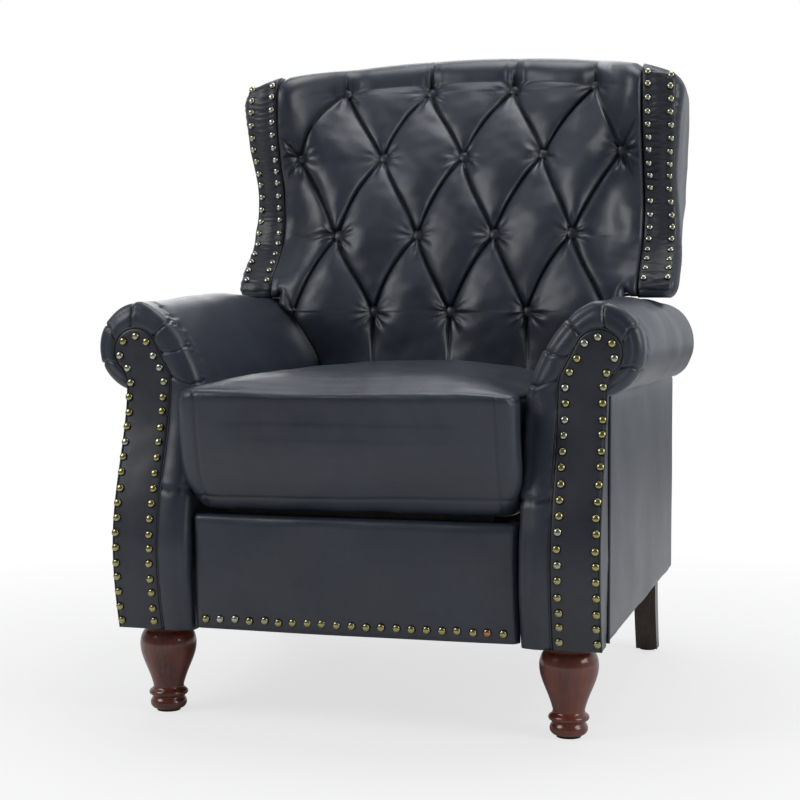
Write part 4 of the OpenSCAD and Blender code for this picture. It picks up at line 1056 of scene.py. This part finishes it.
def buildWingBands():
    f = backForm
    zs = np.concatenate([np.linspace(f["wingLow"] + 0.012, f["wingTop"] - 0.040, 260),
                         np.linspace(f["wingTop"] - 0.039, f["wingTop"] - 0.0035, 40)])
    inner, outer = bandEdges(zs)
    endFall = 0.0035 * (np.exp(-(zs - zs[0]) / 0.003) + np.exp(-(zs[-1] - zs) / 0.003))
    shares = np.array([share for share, _ in f["bandProfile"]])
    middle = np.sin(pi * shares) ** 0.5
    parts, foldShades = [], []
    for side in (1, -1):
        points = np.stack([bandPoint(inner + (outer - inner) * share, zs, lift / 10000 - endFall)
                           for share, lift in f["bandProfile"]], axis=1)
        x, y, z = np.moveaxis(points, -1, 0)
        broad = ripple(points, 0.05, 91 + side)
        crinkle = np.sin(z * 585 + 2.6 * broad) + 0.7 * np.sin(z * 940 + 2.0 * ripple(points, 0.022, 93 + side))
        crinkle = crinkle * np.clip(0.75 + 0.35 * ripple(points, 0.09, 95 + side), 0.25, 1.2)
        y += crinkle * 0.00058 * middle + broad * 0.0003
        # painted shade in the crinkles' troughs, along both edges and at the ends
        fold = np.clip(crinkle - 0.6, 0, 1) * 0.45 * middle
        fold[:, :2] = 0.8; fold[:, -2:] = 0.7; fold[0] = 0.8; fold[-1] = 0.6
        x *= side
        parts.append((points.reshape(-1, 3), gridFaces(*fold.shape)))
        foldShades.append(fold.ravel())
    leatherPiece("wingBands", gather(parts), "back", "wing_bands", np.concatenate(foldShades), panelLeather)


def buildWingNails():
    f = backForm
    dice = np.random.default_rng(15)
    spots, ways = [], []
    for side in (1, -1):
        for outerRow in (False, True):
            fine = np.linspace(f["wingLow"] + 0.028, f["wingTop"] - (0.0075 if outerRow else 0.012), 500)
            inner, outer = bandEdges(fine)
            line = np.maximum(outer - 0.0075, inner + 0.018) if outerRow else inner + 0.0095
            for x, y, z in nailPlaces(bandPoint(line, fine, 0.0014)):
                spots.append((side * (x + dice.normal() * 0.0005), y, z + dice.normal() * 0.0006))
                ways.append((0, -1, (wingY(z + 0.006) - wingY(z - 0.006)) / 0.012))
    nailHeads("wingNails", spots, ways, "back", ("wing_nails",), 4, 0.2)


def coverHalf(z):
    # half the width of the outside back beside the wings
    f = backForm
    return f["coverHalf"] - f["taper"] * (1 - np.clip((z - f["wingLow"] - 0.002) / 0.184, 0, 1))


def coverTop(x):
    f = backForm
    start = f["coverHalf"] - f["corner"]
    turn = np.clip(np.abs(x) - start, 0, f["corner"])
    rounded = topZ(start) - 0.014 - f["corner"] + np.sqrt(np.maximum(0, f["corner"] ** 2 - turn ** 2))
    return np.where(np.abs(x) < start, topZ(x) - 0.014, rounded)


def buildCover():
    # the outside back: one panel, welted all round, with two upright seams
    f = backForm
    low, lowHalf, seamX, turnZ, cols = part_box("back_cover")[0][2], 0.2245, 0.150, 0.63, 121
    zs = np.concatenate([[low, low + 0.002, low + 0.006], np.linspace(low + 0.012, f["wingLow"] - 0.006, 40),
                         [f["wingLow"] + 0.002], np.linspace(0.620, 0.99, 60)])
    points, foldShades = [], []
    for z in zs:
        half = lowHalf if z < f["wingLow"] else coverHalf(z)
        x = np.linspace(-1, 1, cols) * half
        top = coverTop(x)
        height = turnZ + (top - turnZ) * (z - turnZ) / (0.99 - turnZ) if z > turnZ else np.full(cols, z)
        rim = np.maximum(0, np.minimum.reduce([half - np.abs(x), height - low, top - height + 0.001]))
        seam = np.abs(x) - seamX
        lift = 0.006 * (1 - np.exp(-rim / 0.004)) + 0.004 * (1 - np.exp(-rim / 0.08)) - 0.0022 * hump(seam, 0.0022)
        points.append(np.stack([x, rearY(height) - 0.0055 + lift, height], axis=-1))
        # painted shade in the seams and along the rim
        foldShades.append(0.8 * np.maximum(hump(seam, 0.0014), np.exp(-rim / 0.0012)))
    points = np.array(points)
    points[..., 1] += ripple(points, 0.16, 95) * 0.0012
    frontSide = points[::-1].copy()
    frontSide[..., 1] = rearY(frontSide[..., 2]) - f["cover"]
    fold = np.concatenate([foldShades, np.zeros((len(zs), cols))])
    leatherPiece("backCover", sleeve(np.concatenate([points, frontSide])), "back", "back_cover", fold)
    over = np.sin(np.linspace(-pi / 2, pi / 2, 160)[1:-1]) * f["coverHalf"]
    edge = [(x, rearY(coverTop(x)) - 0.001, coverTop(x) + 0.001) for x in over]
    rightSide = [(coverHalf(z), rearY(z) - 0.001, z) for z in np.linspace(coverTop(f["coverHalf"]), 0.619, 50)]
    leftSide = [(-x, y, z) for x, y, z in reversed(rightSide)]
    parts = [tube(spread(leftSide + edge + rightSide, 0.006), 0.0023)]
    for side in (1, -1):
        line = [(side * lowHalf, rearY(z) - 0.001, z) for z in np.linspace(0.612, low + 0.002, 30)]
        parts.append(tube(spread(line, 0.008), 0.0021))
    weltPiece("coverWelt", parts, "back")


buildTuftedPad()
buildButtons()
for side in (1, -1):
    buildWing(side)
buildWingBands()
buildWingNails()
buildCover()
print("back built")


# ---- seat cushion ----

cushionForm = {
    "half": 0.2335, "low": 0.302, "edge": 0.476, "top": 0.499,
    "foot": 0.388, "lean": 0.056, "rear": 0.139,
    "spread": 0.010,     # how much the front corners swell in front of the arms
    "swell": 0.003,      # the blown-up cloth grows about this much, so the start is smaller
    "voxel": 0.0050, "frames": 20, "cap": 0.009, "even": 150,
    "cloth": {"quality": 6, "mass": 0.3, "tension_stiffness": 30, "compression_stiffness": 30, "shear_stiffness": 12,
              "bending_stiffness": 0.8, "use_pressure": True, "uniform_pressure_force": 4.0},
}


def cushionRing(z, inset, count=200, radius=0.020):
    # a rounded rectangle at height z, wider at the top and in front of the arms
    f = cushionForm
    t = float(np.clip((z - f["low"]) / (f["edge"] - 0.010 - f["low"]), 0, 1))
    front = -(f["foot"] + f["lean"] * t ** 0.7) + inset
    rear = f["rear"] - inset * 0.6
    half = f["half"] - inset
    r = min(radius, half * 0.9, (rear - front) * 0.45)
    right, behind, ahead = half - r, rear - r, front + r
    corners = ((right, behind, 0), (-right, behind, 90), (-right, ahead, 180), (right, ahead, 270))
    path = [(cx + r * cos(math.radians(a)), cy + r * sin(math.radians(a)))
            for cx, cy, start in corners for a in np.linspace(start, start + 90, 9)]
    flat = spread(path + path[:1], 0.001)
    flat = flat[np.linspace(0, len(flat) - 1, count, endpoint=False).astype(int)]
    beyond = ease((-0.372 - flat[:, 1]) / 0.030)
    flat[:, 0] *= 1 + beyond * (f["spread"] - (f["spread"] + 0.014) * max(0, 1 - t / 0.34) ** 2) / f["half"]
    return np.column_stack([flat, np.full(count, z)])


def cushionShape():
    f = cushionForm
    s = f["swell"]
    rings = [cushionRing(f["low"] + s, inset + s) for inset in (0.20, 0.12, 0.05, 0.015)]
    for up, back in quarter(6):
        rings.append(cushionRing(f["low"] + s + 0.012 * back, s + 0.012 * (1 - up)))
    for z in np.linspace(f["low"] + 0.022, f["edge"] - 0.016, 26):
        rings.append(cushionRing(z, s - 0.004 * sin(pi * (z - f["low"]) / (f["edge"] - f["low"]))))
    for up, back in quarter(8, 0.15):
        rings.append(cushionRing(f["edge"] - 0.010 + (0.010 - s) * up, s + 0.010 * back))
    for t in np.linspace(0.05, 1, 26):
        z = f["edge"] - s + (f["top"] - f["edge"]) * (1 - (1 - t) ** 3)
        rings.append(cushionRing(z, s + (0.010 + 0.209 * t), radius=0.020 + 0.22 * t))
    return shell(rings)


def vertexData(mesh, key):
    return np.array([getattr(vertex, key)[:] for vertex in mesh.vertices])


def inflate(made, form, hold):
    # cloth blown up from inside, its movement capped, then written into the mesh
    scene = bpy.context.scene
    bpy.ops.object.select_all(action="DESELECT")
    made.select_set(True)
    bpy.context.view_layer.objects.active = made
    mesher = made.modifiers.new("voxels", "REMESH")
    mesher.mode = "VOXEL"
    mesher.voxel_size = form["voxel"]
    bpy.ops.object.modifier_apply(modifier="voxels")
    start, ways = vertexData(made.data, "co"), vertexData(made.data, "normal")
    pins = made.vertex_groups.new(name="pins")
    for index in np.nonzero(hold(start))[0].tolist():
        pins.add([index], 1.0, "REPLACE")
    cloth = made.modifiers.new("cloth", "CLOTH")
    for key, value in form["cloth"].items():
        setattr(cloth.settings, key, value)
    cloth.settings.effector_weights.gravity = 0
    cloth.settings.vertex_group_mass = "pins"
    cloth.collision_settings.use_collision = False
    cloth.collision_settings.use_self_collision = False
    cloth.point_cache.frame_start, cloth.point_cache.frame_end = 1, form["frames"]
    for number in range(1, form["frames"] + 1):
        scene.frame_set(number)
    bpy.ops.object.modifier_apply(modifier="cloth")
    scene.frame_set(1)
    made.vertex_groups.clear()
    mesh = made.data
    outward = np.clip(np.einsum("ij,ij->i", vertexData(mesh, "co") - start, ways), 0, form["cap"])
    a, b = np.array([e.vertices[:] for e in mesh.edges]).T
    shared = np.maximum(np.bincount(a, minlength=len(start)) + np.bincount(b, minlength=len(start)), 1)
    for _ in range(form["even"]):
        # evened out over the neighbours, so the leather stays smooth where the cloth buckled
        total = np.bincount(a, outward[b], len(start)) + np.bincount(b, outward[a], len(start))
        outward = 0.5 * outward + 0.5 * total / shared
    mesh.vertices.foreach_set("co", (start + ways * outward[:, None]).astype(np.float32).ravel())
    mesh.update()
    finer = made.modifiers.new("finer", "SUBSURF")
    finer.levels = finer.render_levels = 1
    bpy.ops.object.modifier_apply(modifier="finer")


def buildCushion():
    f = cushionForm
    made = piece("seatCushion", *cushionShape(), "seat", leather, "leather", ("seat_cushion",))
    inflate(made, f, lambda p: (p[:, 2] < f["low"] + 0.008) | (p[:, 1] > f["rear"] - 0.006))
    mesh = made.data
    spots, normals = vertexData(mesh, "co"), vertexData(mesh, "normal")
    x, y, z = spots.T
    fold = np.zeros(len(spots))
    move = ripple(spots, 0.17, 61) * 0.0016 + ripple(spots, 0.055, 62) * 0.0004
    onFront, onSide = normals[:, 1] < -0.5, np.abs(normals[:, 0]) > 0.6
    onTop = (normals[:, 2] > 0.35) * ease((np.abs(x) - 0.13) / 0.05)
    # each seam: how far off a point lies, where it runs, its depth and width, its shade and the shade's width
    seams = (
        (z - (f["low"] + 0.024 + 0.002 * np.sin(x * 9)), onFront, 0.0013, 0.0022, 0.5, 0.0016),   # hem
        (np.abs(x) - (f["half"] - 0.020), onFront, 0.0016, 0.0024, 0.55, 0.0015),                 # front corners
        (z - (f["edge"] - 0.012), onSide, 0.0015, 0.0024, 0.6, 0.0016),                           # sides
        (y + f["foot"] + f["lean"] - 0.012, onTop, 0.0012, 0.0030, 0.4, 0.0018),                  # top corners
    )
    for off, where, depth, width, dark, darkWidth in seams:
        move -= depth * hump(off, width) * where
        fold = np.maximum(fold, dark * hump(off, darkWidth) * where)
    spots = spots + normals * move[:, None]
    spots[:, 2] = np.maximum(spots[:, 2], f["low"])
    mesh.vertices.foreach_set("co", spots.astype(np.float32).ravel())
    mark(mesh, "fold", fold)
    mesh.polygons.foreach_set("use_smooth", [True] * len(mesh.polygons))
    mesh.update()


buildCushion()
print("cushion built")

# ---- footrest ----

restForm = {
    "half": 0.2350, "low": 0.132, "top": 0.297, "board": 0.380, "nose": 0.020, "foot": 0.011,
    "nailUp": 0.015, "margin": 0.019,     # height of the nails above the lower edge, and how far the row stays from the sides
}


def restFace(z):
    f = restForm
    share = (np.asarray(z, float) - f["low"] - 0.006) / (f["top"] - 0.009 - f["low"] - 0.006)
    return -f["board"] - f["foot"] - (f["nose"] - f["foot"]) * share


def buildFootrest():
    f = restForm
    low, top, half = f["low"], f["top"], f["half"]
    us = np.linspace(-1, 1, 110)
    rearLine, turn = -f["board"] + 0.010, 0.009
    sideTurn = 0.010 * roundOff(half - np.abs(us) * half, 0.010)
    rows, foldShades = [], []

    def add(y, z, fold=0.0):
        rows.append(np.stack([us * half, np.minimum(y, rearLine) + 0 * us, z + 0 * us], axis=-1))
        foldShades.append(fold + 0 * us)

    # the lower edge turns under, then comes the face, its rounded top edge and the rear
    heights = [(low + 0.0005, 0.40), (low, 0.72), (low + 0.0006, 0.86), (low + 0.002, 0.95), (low + 0.005, 1.0)]
    for z, share in heights + [(z, 1.0) for z in np.linspace(low + 0.009, top - 0.012, 44)]:
        sag = 0.0016 * np.cos(us * pi / 2) * max(0, 1 - (z - low) / 0.05)
        puff = 0.0035 * sin(pi * (z - low) / (top - low)) * (1 - np.abs(us) ** 6) * (share == 1)
        face = rearLine + (restFace(z) - rearLine) * share
        # painted shade where the lower edge turns under
        add(face - puff + sideTurn, z - sag * 0.6, 0.35 * hump(z - low - 0.0045, 0.0012))
    for a in (0.3, 0.6, 0.9, 1.2, 1.45):
        add(restFace(top - turn) + 0.010 * (1 - cos(a)) + sideTurn, top - turn + turn * sin(a))
    for z in (top, top - 0.004, low + 0.004):
        add(rearLine, z)
    points = np.array(rows)
    points[..., 1] += ripple(points, 0.13, 65) * 0.0011 * (points[..., 1] < rearLine - 0.004)
    points[..., 2] = np.clip(points[..., 2], low - 0.0015, top)
    made = leatherPiece("footrestPad", sleeve(points), "footrest", "footrest_pad", np.array(foldShades))
    dice = np.random.default_rng(18)
    spots = []
    span = half - f["margin"]
    count = round(2 * span / nailForm["spacing"])
    for k in range(count + 1):
        rise = low + f["nailUp"] + dice.normal() * 0.0008
        spots.append((-span + 2 * span * k / count + dice.normal() * 0.0006, restFace(rise) - 0.0016, rise))
    nailHeads("footrestNails", spots, [(0, -1, -0.06)] * len(spots), "footrest", ("footrest_nails",), 5)


buildFootrest()
print("footrest built")

# ---- legs ----

# the profile is in tenths of a millimetre: radius and height
legForm = {
    "x": 0.297, "y": -0.341,
    "profile": (
        (185, 30), (225, 42), (258, 80), (268, 125), (255, 170), (228, 203), (222, 212), (245, 226), (279, 248),
        (289, 272), (279, 300), (248, 324), (226, 338), (219, 358), (226, 400), (250, 480), (286, 580), (328, 680),
        (368, 780), (396, 870), (409, 950), (411, 1020), (400, 1090), (378, 1150), (352, 1190), (338, 1205),
        (334, 1216), (340, 1228), (338, 1250), (325, 1272)
    ),
}


def buildLegs():
    f = legForm
    smooth = spread(np.array(f["profile"]) / 10000, 0.0016)
    for _ in range(2):
        smooth[1:-1] = (smooth[:-2] + 2 * smooth[1:-1] + smooth[2:]) / 4
    turns = np.linspace(0, 2 * pi, 64, endpoint=False)
    parts = [shell([[(x + r * cos(a), f["y"] + r * sin(a), z) for a in turns] for r, z in smooth])
             for x in (f["x"], -f["x"])]
    piece("frontLegs", *gather(parts), "base", mahogany, "mahogany", ("front_legs",), sharp=50)


buildLegs()

# ---- the nodes that are shown as they are ----

shownFinish = {
    "leather": leather, "piping": weltLeather, "nails": brass, "timber": timber, "mahogany": mahogany,
    "dark_wood": darkWood, "glide": glide, "zinc_steel": zincSteel, "spring_steel": springSteel,
    "link_steel": linkSteel, "nylon": nylon, "deck_fabric": felt,
}
slotOf = {part["node"]: part["material_slot"] for part in frame["record"]["subparts"]}
for node, shape in frame["nodes"].items():
    shape.data.materials.clear()
    shape.data.materials.append(shownFinish[slotOf[node]])
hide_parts("front_bands")
print("frame finished")

# ---- room ----

room = {"floor": (0.82, 0.82, 0.82), "floorDark": (0.78, 0.78, 0.78), "sky": (0.93, 0.96, 1.0), "size": 12,
        "shadowFrom": 0.55, "shadowTo": 1.55}


def buildRoom():
    # the floor keeps the chair's shadow near it and runs out to plain white for the eye
    finish = Finish("paleFloor")
    place = finish.place()
    cloud = finish.noise(place, 3, 2, 0.5)
    colour = finish.mix(finish.between(cloud, 0.3, 0.7) * 0.04, room["floor"], room["floorDark"])
    matt = finish.node("BsdfPrincipled", {}, {"Base Color": colour, "Roughness": 0.8})
    white = finish.node("Emission", {}, {"Color": (1.0, 1.0, 1.0), "Strength": 1.0})
    away = finish.node("VectorMath", {"operation": "LENGTH"}, {0: place}, 1)
    eye = finish.node("LightPath")
    far = finish.between(away, room["shadowFrom"], room["shadowTo"], 0.70, 1.0)
    finish.end(finish.node("MixShader", {}, {0: far * eye, 1: matt, 2: white}))
    mesh = bpy.data.meshes.new("paleFloor")
    half = room["size"]
    mesh.from_pydata([(-half, -half, 0), (half, -half, 0), (half, half, 0), (-half, half, 0)], [], [(0, 1, 2, 3)])
    mesh.materials.append(finish.material)
    floor = bpy.data.objects.new("paleFloor", mesh)
    bpy.context.collection.objects.link(floor)
    # the room is dimmer before the chair than behind it, and plain white for the eye
    sky = Finish("studio", world=True)
    bpy.context.scene.world = sky.material
    ahead = sky.node("SeparateXYZ", {}, {0: sky.node("TexCoord")}, 1)
    level = sky.node("MapRange", {"interpolation_type": "SMOOTHSTEP"},
                     {0: ahead, 1: -0.35, 2: 0.75, 3: lights["front"], 4: lights["behind"]})
    soft = sky.node("Background", {}, {"Color": room["sky"], "Strength": level})
    plain = sky.node("Background", {}, {"Color": (1.0, 1.0, 1.0), "Strength": 1.0})
    sky.end(sky.node("MixShader", {}, {0: sky.node("LightPath"), 1: soft, 2: plain}))


buildRoom()
setCamera()
setLights()
bpy.context.scene.view_settings.view_transform = "Standard"
